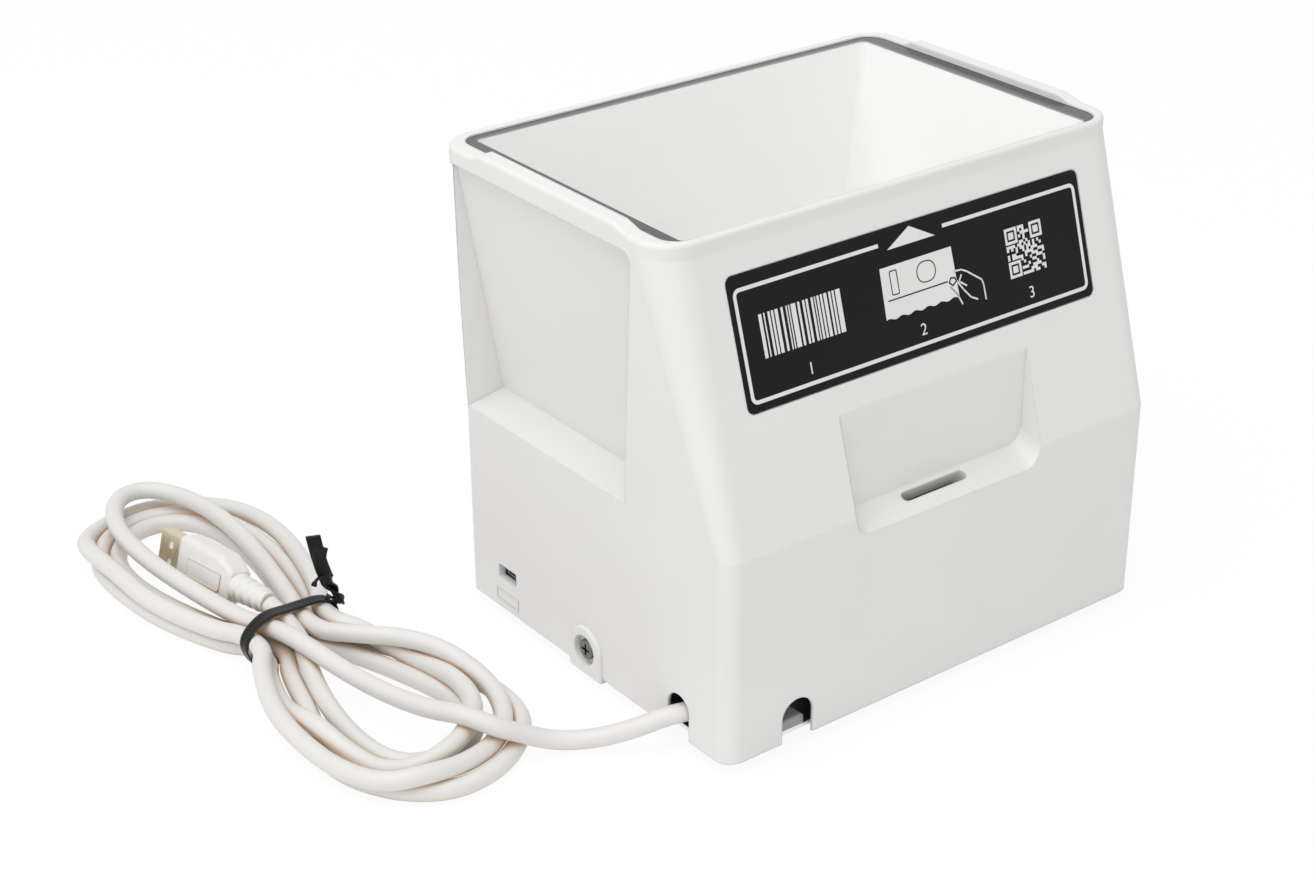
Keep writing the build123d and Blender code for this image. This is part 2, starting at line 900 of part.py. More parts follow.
with BuildPart() as sounder:
    with BuildSketch(Plane.XY.offset(board_top)):
        with Locations(sounder_place):
            Circle(sounder_diameter / 2)
    extrude(amount=sounder_height)
    with BuildSketch(Plane.XY.offset(board_top + sounder_height)):
        with Locations(sounder_place):
            Circle(sounder_hole / 2)
    extrude(amount=-sounder_height / 3, mode=Mode.SUBTRACT)
sounder.part.label = "sounder"
export_step(sounder.part, "parts/sounder.step")

# Camera board on spacers above the main board
camera_inset = camera_board_side / 2 - camera_screw_inset
camera_ys = (camera_y - camera_inset, camera_y + camera_inset)
camera_places = [(x, y) for x in (-camera_inset, camera_inset) for y in camera_ys]
with BuildPart() as camera_spacers:
    with BuildSketch(Plane.XY.offset(board_top)):
        with Locations(*camera_places):
            Circle(spacer_diameter / 2)
            Circle(small_hole, mode=Mode.SUBTRACT)
    extrude(amount=camera_board_bottom - board_top)
camera_spacers.part.label = "camera_spacers"
export_step(camera_spacers.part, "parts/camera_spacers.step")

with BuildPart() as camera_board:
    with BuildSketch(Plane.XY.offset(camera_board_bottom)):
        with Locations((0, camera_y)):
            Rectangle(camera_board_side, camera_board_side)
        with Locations(*camera_places):
            Circle(small_hole, mode=Mode.SUBTRACT)
    extrude(amount=board_thickness)
camera_board.part.label = "camera_board"
export_step(camera_board.part, "parts/camera_board.step")

with BuildPart() as camera_screws:
    with BuildSketch(Plane.XY.offset(camera_board_top)):
        with Locations(*camera_places):
            Circle(small_head_diameter / 2)
    extrude(amount=small_head_height)
    with BuildSketch(Plane.XY.offset(camera_board_top)):
        with Locations(*camera_places):
            Circle(small_screw_diameter / 2)
    extrude(amount=board_top - camera_board_top)
    with BuildSketch(Plane.XY.offset(camera_board_top + small_head_height)):
        with Locations(*camera_places):
            Rectangle(cross_length, cross_width)
            Rectangle(cross_width, cross_length)
    extrude(amount=-cross_depth, mode=Mode.SUBTRACT)
camera_screws.part.label = "camera_screws"
export_step(camera_screws.part, "parts/camera_screws.step")

with BuildPart() as image_sensor:
    with BuildSketch(Plane.XY.offset(camera_board_top)):
        with Locations((0, camera_y)):
            Rectangle(sensor_side, sensor_side)
    extrude(amount=sensor_height)
image_sensor.part.label = "image_sensor"
export_step(image_sensor.part, "parts/image_sensor.step")

# Lens holder round the sensor, lens barrel in it and the front glass of the lens
holder_top = camera_board_top + holder_height
with BuildPart() as lens_holder:
    with BuildSketch(Plane.XY.offset(camera_board_top)):
        with Locations((0, camera_y)):
            RectangleRounded(holder_side, holder_side, holder_corner_radius)
    extrude(amount=holder_height)
    with BuildSketch(Plane.XY.offset(camera_board_top)):
        with Locations((0, camera_y)):
            Rectangle(holder_side - 2 * holder_wall, holder_side - 2 * holder_wall)
    extrude(amount=holder_height / 3, mode=Mode.SUBTRACT)
    with BuildSketch(Plane.XY.offset(camera_board_top)):
        with Locations((0, camera_y)):
            Circle(lens_thread_diameter / 2 + lens_fit_gap)
    extrude(amount=holder_height, mode=Mode.SUBTRACT)
lens_holder.part.label = "lens_holder"
export_step(lens_holder.part, "parts/lens_holder.step")

lens_top = holder_top + lens_head_height
with BuildPart() as lens_barrel:
    with BuildSketch(Plane.XY.offset(lens_thread_start)):
        with Locations((0, camera_y)):
            Circle(lens_thread_diameter / 2)
    extrude(amount=holder_top - lens_thread_start)
    with BuildSketch(Plane.XY.offset(holder_top)):
        with Locations((0, camera_y)):
            Circle(lens_head_diameter / 2)
    extrude(amount=lens_head_height)
    fillet(lens_barrel.edges().group_by(Axis.Z)[-1], radius=lens_edge_radius)
    with BuildSketch(Plane.XY.offset(lens_top)):
        with Locations((0, camera_y)):
            Circle(lens_glass_diameter / 2)
    extrude(amount=-lens_glass_recess - lens_glass_thickness, mode=Mode.SUBTRACT)
lens_barrel.part.label = "lens_barrel"
export_step(lens_barrel.part, "parts/lens_barrel.step")

with BuildPart() as lens_glass:
    with BuildSketch(Plane.XY.offset(lens_top - lens_glass_recess - lens_glass_thickness)):
        with Locations((0, camera_y)):
            Circle(lens_glass_diameter / 2 - lens_fit_gap)
    extrude(amount=lens_glass_thickness)
    fillet(lens_glass.edges().group_by(Axis.Z)[-1], radius=lens_glass_edge_radius)
lens_glass.part.label = "lens_glass"
export_step(lens_glass.part, "parts/lens_glass.step")

# Ribbon from the camera board over its rear edge down to the main board
camera_rear = camera_y + camera_board_side / 2
ribbon_out = camera_rear + ribbon_reach
ribbon_points = [
    (camera_rear - ribbon_landing, camera_board_top),
    (ribbon_out, camera_board_top),
    (ribbon_out, board_top),
    (ribbon_out + ribbon_landing, board_top),
    (ribbon_out + ribbon_landing, board_top + ribbon_thickness),
    (ribbon_out + ribbon_thickness, board_top + ribbon_thickness),
    (ribbon_out + ribbon_thickness, camera_board_top + ribbon_thickness),
    (camera_rear - ribbon_landing, camera_board_top + ribbon_thickness),
]
with BuildPart() as camera_ribbon:
    with BuildSketch(Plane.YZ):
        with BuildLine():
            Polyline(*ribbon_points, close=True)
        make_face()
    extrude(amount=ribbon_width / 2, both=True)
camera_ribbon.part.label = "camera_ribbon"
export_step(camera_ribbon.part, "parts/camera_ribbon.step")

# Optics tray on four posts, over the boards
post_x = tray_half_width - post_inset
post_ys = (tray_front + post_inset, tray_rear - post_inset)
post_places = [(x, y) for x in (-post_x, post_x) for y in post_ys]
with BuildPart() as tray_posts:
    with BuildSketch(Plane.XY.offset(plate_top)):
        with Locations(*post_places):
            RegularPolygon(post_diameter / 2, 6)
    extrude(amount=tray_bottom - plate_top)
    with BuildSketch(Plane.XY.offset(tray_bottom)):
        with Locations(*post_places):
            Circle(small_hole)
    extrude(amount=-post_hole_depth, mode=Mode.SUBTRACT)
tray_posts.part.label = "tray_posts"
export_step(tray_posts.part, "parts/tray_posts.step")

with BuildPart() as optics_tray:
    with BuildSketch(Plane.XY.offset(tray_bottom)):
        add(outline(tray_half_width, tray_front, tray_rear, tray_corner_radius, tray_corner_radius))
        with Locations((0, camera_y)):
            Circle(tray_lens_hole / 2, mode=Mode.SUBTRACT)
        with Locations(*post_places):
            Circle(small_hole, mode=Mode.SUBTRACT)
    extrude(amount=tray_thickness)
optics_tray.part.label = "optics_tray"
export_step(optics_tray.part, "parts/optics_tray.step")

with BuildPart() as tray_screws:
    with BuildSketch(Plane.XY.offset(tray_top)):
        with Locations(*post_places):
            Circle(small_head_diameter / 2)
    extrude(amount=small_head_height)
    with BuildSketch(Plane.XY.offset(tray_top)):
        with Locations(*post_places):
            Circle(small_screw_diameter / 2)
    extrude(amount=-tray_thickness - tray_screw_reach)
    with BuildSketch(Plane.XY.offset(tray_top + small_head_height)):
        with Locations(*post_places):
            Rectangle(cross_length, cross_width)
            Rectangle(cross_width, cross_length)
    extrude(amount=-cross_depth, mode=Mode.SUBTRACT)
tray_screws.part.label = "tray_screws"
export_step(tray_screws.part, "parts/tray_screws.step")

# A light strip on each side of the tray, with its row of lights
led_pitch = strip_length / led_count
strip_top = tray_top + strip_thickness
for side_name, strip_middle in (("left", -strip_x), ("right", strip_x)):
    with BuildPart() as light_strip:
        with BuildSketch(Plane.XY.offset(tray_top)):
            with Locations((strip_middle, camera_y)):
                Rectangle(strip_width, strip_length)
        extrude(amount=strip_thickness)
    light_strip.part.label = "light_strip_" + side_name
    export_step(light_strip.part, "parts/light_strip_" + side_name + ".step")
    with BuildPart() as strip_lights:
        with BuildSketch(Plane.XY.offset(strip_top)):
            with Locations((strip_middle, camera_y)):
                with GridLocations(led_pitch, led_pitch, 1, led_count):
                    Rectangle(led_width, led_length)
        extrude(amount=led_height)
    strip_lights.part.label = "strip_lights_" + side_name
    export_step(strip_lights.part, "parts/strip_lights_" + side_name + ".step")

# Cord, from the connector on the main board out by the side arch to the hank on the table
connector_rear = board_front + connector_overhang
connector_front = connector_rear - connector_depth
connector_z = board_top + socket_height / 2
cord_route = [
    (connector_x, connector_front, connector_z),
    (connector_x, connector_front - cord_first_run, connector_z),
    *cord_places,
]


def cord_radii(points):
    """The largest arcs that the runs of a route leave room for."""
    radii = []
    for before, here, after in zip(points, points[1:], points[2:]):
        run_in = Vector(*here) - Vector(*before)
        run_out = Vector(*after) - Vector(*here)
        half_turn = math.radians(run_in.get_angle(run_out) / 2)
        radii.append(0.45 * min(run_in.length, run_out.length) / math.tan(half_turn))
    return radii


radii = cord_radii(cord_route)
print("cord radii", [round(radius, 1) for radius in radii])
with BuildPart() as cord:
    with BuildLine() as cord_path:
        FilletPolyline(*cord_route, radius=radii)
    with BuildSketch(Plane(cord_path.line @ 0, z_dir=cord_path.line % 0)):
        Circle(cord_diameter / 2)
    sweep()
section = math.pi * cord_diameter**2 / 4
path_length = sum(edge.length for edge in cord_path.edges())
print("cord volume", round(cord.part.volume), "section by length", round(section * path_length))
cord.part.label = "cord"
export_step(cord.part, "parts/cord.step")

# Socket on the main board and the connector in front of it
with BuildPart() as cord_socket:
    with BuildSketch(Plane.XY.offset(board_top)):
        with Locations((connector_x, connector_rear + socket_depth / 2)):
            Rectangle(socket_width, socket_depth)
    extrude(amount=socket_height)
cord_socket.part.label = "cord_socket"
export_step(cord_socket.part, "parts/cord_socket.step")

with BuildPart() as cord_connector:
    with BuildSketch(Plane.XZ.offset(-connector_rear)):
        with Locations((connector_x, connector_z)):
            Rectangle(connector_width, connector_height)
    extrude(amount=connector_depth)
cord_connector.part.label = "cord_connector"
export_step(cord_connector.part, "parts/cord_connector.step")

# Saddle under the cord at the front edge of the plate, in line with the front arch
with BuildPart() as cord_saddle:
    with BuildSketch(Plane.XY.offset(plate_top)):
        with Locations((front_arch_middle, cover_front + wall + plate_gap + saddle_depth / 2)):
            Rectangle(saddle_width, saddle_depth)
    extrude(amount=saddle_height)
    fillet(cord_saddle.edges().group_by(Axis.Z)[-1], radius=saddle_edge_radius)
cord_saddle.part.label = "cord_saddle"
export_step(cord_saddle.part, "parts/cord_saddle.step")

# Clamp that holds the cord just inside the side arch, and its screw
clamp_from = Vector(*cord_route[4])
clamp_to = Vector(*cord_route[5])
clamp_plane = Plane((clamp_from + clamp_to) / 2, z_dir=clamp_to - clamp_from, x_dir=(0, 0, 1))
clamp_middle = clamp_plane.origin
flat_run = Vector(clamp_to.X - clamp_from.X, clamp_to.Y - clamp_from.Y, 0)
floor_plane = Plane((clamp_middle.X, clamp_middle.Y, plate_top), x_dir=flat_run, z_dir=(0, 0, 1))
clamp_half = cord_diameter / 2 + clamp_wall
clamp_rise = clamp_middle.Z + cord_diameter / 2 + clamp_wall - plate_top
foot_side = 1 if floor_plane.y_dir.Y > 0 else -1
foot_middle = foot_side * (clamp_half + clamp_foot / 2)
with BuildPart() as cord_clamp:
    with BuildSketch(floor_plane):
        Rectangle(clamp_length, 2 * clamp_half)
    extrude(amount=clamp_rise)
    fillet(cord_clamp.edges().group_by(Axis.Z)[-1], radius=clamp_edge_radius)
    with BuildSketch(floor_plane):
        with Locations((0, foot_middle)):
            Rectangle(clamp_length, clamp_foot)
            Circle(small_hole, mode=Mode.SUBTRACT)
    extrude(amount=clamp_foot_height)
    with BuildSketch(clamp_plane):
        Circle(cord_diameter / 2)
    extrude(amount=2 * clamp_length, both=True, mode=Mode.SUBTRACT)
cord_clamp.part.label = "cord_clamp"
export_step(cord_clamp.part, "parts/cord_clamp.step")

with BuildPart() as clamp_screw:
    with BuildSketch(floor_plane.offset(clamp_foot_height)):
        with Locations((0, foot_middle)):
            Circle(small_head_diameter / 2)
    extrude(amount=small_head_height)
    with BuildSketch(floor_plane.offset(clamp_foot_height)):
        with Locations((0, foot_middle)):
            Circle(small_screw_diameter / 2)
    extrude(amount=-clamp_foot_height)
    with BuildSketch(floor_plane.offset(clamp_foot_height + small_head_height)):
        with Locations((0, foot_middle)):
            Rectangle(cross_length, cross_width)
            Rectangle(cross_width, cross_length)
    extrude(amount=-cross_depth, mode=Mode.SUBTRACT)
clamp_screw.part.label = "clamp_screw"
export_step(clamp_screw.part, "parts/clamp_screw.step")


def hank_edge(angle):
    """Point of the hank's plan outline: two round lobes with a waist at the tie."""
    y = hank_middle_y - hank_length / 2 * math.cos(angle)
    pinch = math.exp(-(((y - tie_y) / hank_waist_spread) ** 2))
    width = hank_lobe - (hank_lobe - hank_waist) * pinch
    across = width * math.copysign(math.sqrt(abs(math.sin(angle))), math.sin(angle))
    return hank_middle_x + hank_lean * (y - tie_y) + across, y


def plug_plane_at(distance):
    """Section plane of the plug, this far from its junction towards the cord."""
    tip = Vector(*plug_tip_direction).normalized()
    side = Vector(0, 0, 1).cross(tip).normalized()
    upright = tip.cross(side)
    roll = math.radians(plug_roll)
    wide = upright * math.cos(roll) - side * math.sin(roll)
    return Plane(Vector(*plug_junction) - tip * distance, x_dir=wide, z_dir=tip)


# Hank: the outer shape of the coiled cord, open inside its two loops
hank_points = [hank_edge(2 * math.pi * step / hank_steps) for step in range(hank_steps)]
tie_x = hank_middle_x
with BuildPart() as cord_hank:
    with BuildSketch():
        with BuildLine():
            Spline(*hank_points, periodic=True)
        make_face()
        for hole_x, hole_y, hole_half_x, hole_half_y in hank_holes:
            with Locations((hole_x, hole_y)):
                Ellipse(hole_half_x, hole_half_y, mode=Mode.SUBTRACT)
    extrude(amount=hank_height)
    # Groove for the tie
    with BuildSketch(Plane.XZ.offset(-tie_y)):
        with Locations((tie_x, hank_height / 2)):
            Rectangle(4 * hank_lobe, 2 * hank_height)
        with Locations((tie_x, tie_thickness + tie_gap + tie_inner_height / 2)):
            Rectangle(2 * tie_inner_half, tie_inner_height, mode=Mode.SUBTRACT)
    extrude(amount=tie_width / 2 + tie_gap, both=True, mode=Mode.SUBTRACT)
    # Room for the plug
    with BuildSketch(plug_plane_at(overmould_length + relief_length)):
        Rectangle(overmould_width + 2 * plug_room, overmould_height + 2 * plug_room)
    plug_length = overmould_length + relief_length + shell_length
    extrude(amount=plug_length + plug_room_ahead, mode=Mode.SUBTRACT)
cord_hank.part.label = "cord_hank"
export_step(cord_hank.part, "parts/cord_hank.step")
print("cord_hank solids", len(cord_hank.part.solids()))

# Twist tie: a band round the waist of the hank, with its twisted ends standing up
band_low = Plane.XZ.offset(-tie_y)
with BuildPart() as twist_tie:
    with BuildSketch(band_low):
        with Locations((tie_x, tie_thickness + tie_gap + tie_inner_height / 2)):
            RectangleRounded(
                2 * (tie_inner_half + tie_gap + tie_thickness),
                tie_inner_height + 2 * (tie_gap + tie_thickness),
                tie_corner_radius,
            )
            Rectangle(
                2 * (tie_inner_half + tie_gap), tie_inner_height + 2 * tie_gap, mode=Mode.SUBTRACT
            )
    extrude(amount=tie_width / 2, both=True)
    with BuildSketch(Plane.XY.offset(2 * (tie_thickness + tie_gap) + tie_inner_height)):
        with Locations((tie_x + tie_tail_x, tie_y)):
            Rectangle(tie_tail_width, tie_tail_thickness)
    extrude(amount=tie_tail_height)
twist_tie.part.label = "twist_tie"
export_step(twist_tie.part, "parts/twist_tie.step")

# Plug: metal shell, contact tongue, contacts, overmould and strain relief
with BuildPart() as plug_shell:
    with BuildSketch(plug_plane_at(0)):
        RectangleRounded(shell_width, shell_height, shell_corner_radius)
        Rectangle(shell_width - 2 * shell_metal, shell_height - 2 * shell_metal, mode=Mode.SUBTRACT)
    extrude(amount=shell_length)
    tip_plane = plug_plane_at(-shell_length + shell_window_from_tip)
    window_plane = Plane(tip_plane.origin, x_dir=tip_plane.x_dir, z_dir=tip_plane.y_dir)
    with BuildSketch(window_plane):
        with GridLocations(shell_window_spacing, shell_window_spacing, 2, 1):
            Rectangle(shell_window, shell_window)
    extrude(amount=shell_height, both=True, mode=Mode.SUBTRACT)
plug_shell.part.label = "plug_shell"
export_step(plug_shell.part, "parts/plug_shell.step")

with BuildPart() as plug_tongue:
    with BuildSketch(plug_plane_at(0)):
        with Locations((0, -(shell_height / 2 - shell_metal) + tongue_thickness / 2)):
            Rectangle(shell_width - 2 * shell_metal, tongue_thickness)
    extrude(amount=shell_length - tongue_setback)
plug_tongue.part.label = "plug_tongue"
export_step(plug_tongue.part, "parts/plug_tongue.step")

with BuildPart() as plug_contacts:
    with BuildSketch(plug_plane_at(0)):
        contact_y = -(shell_height / 2 - shell_metal) + tongue_thickness + contact_thickness / 2
        with Locations((0, contact_y)):
            with GridLocations(contact_spacing, contact_spacing, contact_count, 1):
                Rectangle(contact_width, contact_thickness)
    extrude(amount=shell_length - contact_setback)
plug_contacts.part.label = "plug_contacts"
export_step(plug_contacts.part, "parts/plug_contacts.step")

with BuildPart() as plug_overmould:
    with BuildSketch(plug_plane_at(overmould_length)):
        RectangleRounded(overmould_width, overmould_height, overmould_radius)
    extrude(amount=overmould_length)
    plug_tip = plug_plane_at(0).z_dir
    end_faces = plug_overmould.faces().filter_by(
        lambda face: abs(face.normal_at().dot(plug_tip)) > 0.99
    )
    fillet(end_faces.edges(), radius=overmould_edge_radius)
plug_overmould.part.label = "plug_overmould"
export_step(plug_overmould.part, "parts/plug_overmould.step")

with BuildPart() as plug_relief:
    with BuildSketch(plug_plane_at(overmould_length + relief_length)):
        Circle(relief_end_diameter / 2)
    with BuildSketch(plug_plane_at(overmould_length)):
        Circle(relief_start_diameter / 2)
    loft()
    rib_pitch = relief_length / (relief_rib_count + 1)
    for rib in range(1, relief_rib_count + 1):
        with BuildSketch(plug_plane_at(overmould_length + rib * rib_pitch)):
            Circle(relief_start_diameter)
            Circle(relief_end_diameter / 2 - relief_rib_groove / 2, mode=Mode.SUBTRACT)
        extrude(amount=rib_pitch / 3, mode=Mode.SUBTRACT)
plug_relief.part.label = "plug_relief"
export_step(plug_relief.part, "parts/plug_relief.step")
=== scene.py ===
# %% [markdown]
# A desk-top document scanner, dressed for its photograph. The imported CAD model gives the
# shapes, and this file gives them their finishes, replaces the cord and its plug with
# detailed ones, and sets up the camera, the floor and the light.

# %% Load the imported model
import math
import random

import bmesh
import bpy
import numpy as np
from mathutils import Matrix, Vector


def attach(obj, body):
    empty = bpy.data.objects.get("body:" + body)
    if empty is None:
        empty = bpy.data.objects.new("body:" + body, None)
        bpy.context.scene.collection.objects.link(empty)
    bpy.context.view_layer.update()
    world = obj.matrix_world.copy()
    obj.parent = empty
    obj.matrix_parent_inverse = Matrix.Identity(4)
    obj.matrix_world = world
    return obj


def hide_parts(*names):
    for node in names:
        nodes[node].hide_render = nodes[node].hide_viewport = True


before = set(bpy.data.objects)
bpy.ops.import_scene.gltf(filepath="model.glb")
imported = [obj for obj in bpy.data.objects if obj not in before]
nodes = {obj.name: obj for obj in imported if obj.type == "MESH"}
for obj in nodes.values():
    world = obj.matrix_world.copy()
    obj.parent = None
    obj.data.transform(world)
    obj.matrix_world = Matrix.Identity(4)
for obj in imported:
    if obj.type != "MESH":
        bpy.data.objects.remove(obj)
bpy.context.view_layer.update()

MM = 0.001
scene = bpy.context.scene


def placed(name, data):
    """A new object in the scene."""
    thing = bpy.data.objects.new(name, data)
    scene.collection.objects.link(thing)
    return thing


def mesh_of(curve_data):
    """The mesh that a curve or a text makes."""
    holder = bpy.data.objects.new("holder", curve_data)
    mesh = bpy.data.meshes.new_from_object(holder)
    bpy.data.objects.remove(holder)
    return mesh


def axes_at(place, x, y, z):
    """A matrix that puts three axes at a place."""
    return Matrix.Translation(place) @ Matrix((x, y, z)).transposed().to_4x4()


# %% [markdown]
# The camera stands where the photograph was taken from. Its place and direction were solved
# from the straight edges of the cover, so the render can be laid over the picture. It looks
# down by 27 degrees on the front left corner, through a long lens that keeps edges parallel.

# %% Camera
eye = Vector((-395.5, -456.3, 357.7)) * MM
ahead = Vector((0.5377, 0.7103, -0.4543)).normalized()
level_right = ahead.cross(Vector((0, 0, 1))).normalized()
level_up = level_right.cross(ahead)
roll = math.radians(-0.374)
camera_right = level_right * math.cos(roll) + level_up * math.sin(roll)
camera_up = level_up * math.cos(roll) - level_right * math.sin(roll)

camera_data = bpy.data.cameras.new("camera")
camera_data.sensor_width = 36.0
camera_data.lens = 66.72
camera_data.clip_start = 0.01
camera_data.clip_end = 20.0
camera = placed("camera", camera_data)
camera.matrix_world = axes_at(eye, camera_right, camera_up, -ahead)
scene.camera = camera
print("camera at", [round(v, 3) for v in eye])

# %% [markdown]
# The cord is one length of round white lead, from the connector on the board inside, out by
# the arch in the left side, and round the hank's four turns to its plug. A NURBS curve is
# the natural tool: few points pull it into soft bends, as a springy lead lies. The first
# points repeat the route of the CAD tube.

# %% The route out of the scanner, in millimetres
CORD_DIAMETER = 5.2
CORD_RADIUS = CORD_DIAMETER / 2
route = [
    (-27, -22, 14.75), (-27, -34, 14.75), (-32.3, -44.8, 12.9), (-42.6, -51.0, 11.1),
    (-54.6, -50.6, 10.5), (-65.2, -44.2, 10.6), (-75.6, -39.4, 10.0), (-83.8, -35.0, 6.6),
    (-92.4, -28.9, 3.6), (-101.3, -22.9, 3.4), (-109.6, -19.6, 7.6),
]

# %% [markdown]
# The hank was wound by hand, so no turn is like the next: each has a rear loop and a front
# loop, and all of them squeeze through the tie between. A loop swings wide and comes back to
# the place where it started, which is one half of a figure eight, so its points come from
# that curve's formula, stretched to the edges that the photograph shows.

# %% The loops of the hank, in millimetres
TIE_Y = 60.0
TIE_HALF_WIDTH = 6.0
LOOP_POINTS = 12
# Where each of the nine passes goes through the tie: x and height.
passes = [
    (-137.0, 11.0), (-126.0, 8.7), (-142.6, 8.3), (-119.4, 8.7), (-141.2, 3.4),
    (-119.4, 3.5), (-134.5, 3.5), (-126.0, 3.5), (-131.0, 8.9),
]
# The edges of each loop in turn, rear and front: the edge it goes out by, the edge it comes
# back by, its far end, and its height there.
loops = [
    (-146.0, -116.0, 155.5, 13.0), (-102.5, -154.0, -22.5, 6.6),
    (-157.0, -103.0, 156.5, 3.4), (-108.5, -150.0, -13.0, 5.8),
    (-157.0, -109.0, 151.0, 2.6), (-98.5, -152.0, -24.5, 2.6),
    (-151.0, -115.0, 147.0, 2.6), (-108.5, -141.5, -12.5, 2.6),
]


def loop_of(start, end, out_edge, back_edge, far, far_height):
    """Points from one pass through the tie, round a loop, to the next pass."""
    beside_tie = TIE_Y + math.copysign(TIE_HALF_WIDTH, far - TIE_Y)
    found = [(start[0], beside_tie, start[1])]
    for step in range(LOOP_POINTS):
        angle = math.pi * (step + 0.5) / LOOP_POINTS
        share = (step + 0.5) / LOOP_POINTS
        middle = start[0] + (end[0] - start[0]) * share
        if share < 0.5:
            edge, widest_at = out_edge, 0.25
            height = start[1] + (far_height - start[1]) * share * 2
        else:
            edge, widest_at = back_edge, 0.75
            height = far_height + (end[1] - far_height) * (share * 2 - 1)
        width = abs(start[0] + (end[0] - start[0]) * widest_at - edge)
        x = middle + math.copysign(width, edge - middle) * abs(math.sin(2 * angle))
        y = TIE_Y + (far - TIE_Y) * math.sin(angle)
        found.append((x, y, height))
    return found + [(end[0], beside_tie, end[1])]


over_the_front_loop = [
    (-115.6, -17.4, 11.0), (-120.6, -10.5, 13.0), (-124.6, -0.5, 12.6), (-128.2, 14.0, 11.6),
    (-131.2, 30.0, 11.0), (-134.2, 53.0, 11.0),
]
to_the_plug = [(-131.0, 64.0, 10.6), (-131.8, 70.0, 11.6)]
hank = list(over_the_front_loop)
for index, edges_of_loop in enumerate(loops):
    hank += loop_of(passes[index], passes[index + 1], *edges_of_loop)
hank += to_the_plug
print("hank of", len(hank), "points in", len(loops) // 2, "turns")

# %% [markdown]
# Laid like that, strands still run through each other. So the hank settles for a moment:
# strands that overlap push each other apart, the table and the tie hold them in, the plug
# keeps its room, and their weight pulls them down. It is a small simulation of our own,
# because Blender has none for a cord that touches itself. It moves only the control points.

# %% The plug's place and its own directions, as the CAD model has them
PLUG_FOOT = (-135.6, 111.0, 8.6)
PLUG_LEAN = math.radians(19.0)
plug_tip = Vector((-0.1, 0.992, -0.075)).normalized()
plug_side = Vector((0, 0, 1)).cross(plug_tip).normalized()
plug_wide = plug_tip.cross(plug_side) * math.cos(PLUG_LEAN) - plug_side * math.sin(PLUG_LEAN)
plug_thick = plug_tip.cross(plug_wide)
# From and to along the plug, half width and half thickness: grip, relief and shell.
PLUG_ROOMS = ((-27, 1, 7.8, 4.1), (-42, -27, 3.8, 3.8), (1, 12.5, 6.0, 2.3))
SAMPLES_IN_PLUG = 14
print("plug at", PLUG_FOOT, "pointing", [round(v, 3) for v in plug_tip])

# %% What holds the hank in, in millimetres
SAMPLES = (0.125, 0.375, 0.625, 0.875)
TOUCHING = CORD_DIAMETER * 1.02
LOOKED_AT = TOUCHING * 1.5
NEAR_ALONG = 13
TIE_REACH = 4
tie_low = np.array((-142.7, 3.5))
tie_high = np.array((-118.9, 11.3))
LEFT_LIMIT, REAR_LIMIT = -155.2, 157.2
# How many steps, how often the near strands are looked up, and when the calmer end starts.
STEPS, LOOK_UP, CALM_FROM = 420, 6, 0.7
# How far a point sinks in a step, and how strongly its first place holds it, early and late.
SINK, HOLD = (0.02, 0.004), (0.01, 0.001)
PLUG_PUSH = 0.6


def weights_at(u):
    """What three neighbour points weigh at a share of the way past the middle one."""
    return 0.5 * (1 - u) ** 2, 0.5 + u * (1 - u), 0.5 * u * u


def sampled(points):
    """Places along the smooth line of the points, four to each point."""
    spans = []
    for u in SAMPLES:
        before, here, after = weights_at(u)
        spans.append(points[:-2] * before + points[1:-1] * here + points[2:] * after)
    return np.stack(spans, axis=1).reshape(-1, 3)


def spread_back(moves, count):
    """What the moves of the samples mean for the control points."""
    moves = moves.reshape(-1, len(SAMPLES), 3)
    total = np.zeros((count, 3))
    weight = np.zeros((count, 1))
    for column, u in enumerate(SAMPLES):
        for offset, share in enumerate(weights_at(u)):
            total[offset:count - 2 + offset] += share * moves[:, column]
            weight[offset:count - 2 + offset] += share
    return total / weight


def plug_push(line):
    """Moves samples out of the plug's grip, its relief and its shell."""
    wide, thick = np.array(plug_wide), np.array(plug_thick)
    from_foot = line - np.array(PLUG_FOOT)
    along, across, deep = from_foot @ np.array(plug_tip), from_foot @ wide, from_foot @ thick
    move = np.zeros_like(line)
    for low, high, half_wide, half_thick in PLUG_ROOMS:
        room_across = half_wide + CORD_RADIUS - np.abs(across)
        room_deep = half_thick + CORD_RADIUS - np.abs(deep)
        inside = (along > low) & (along < high) & (room_across > 0) & (room_deep > 0)
        shallow = inside & (room_deep <= room_across)
        edge = inside & (room_deep > room_across)
        for part, room, depth, axis in ((shallow, room_deep, deep, thick),
                                        (edge, room_across, across, wide)):
            move[part] += PLUG_PUSH * np.outer(room[part] * np.sign(depth[part]), axis)
    move[-SAMPLES_IN_PLUG:] = 0
    return move


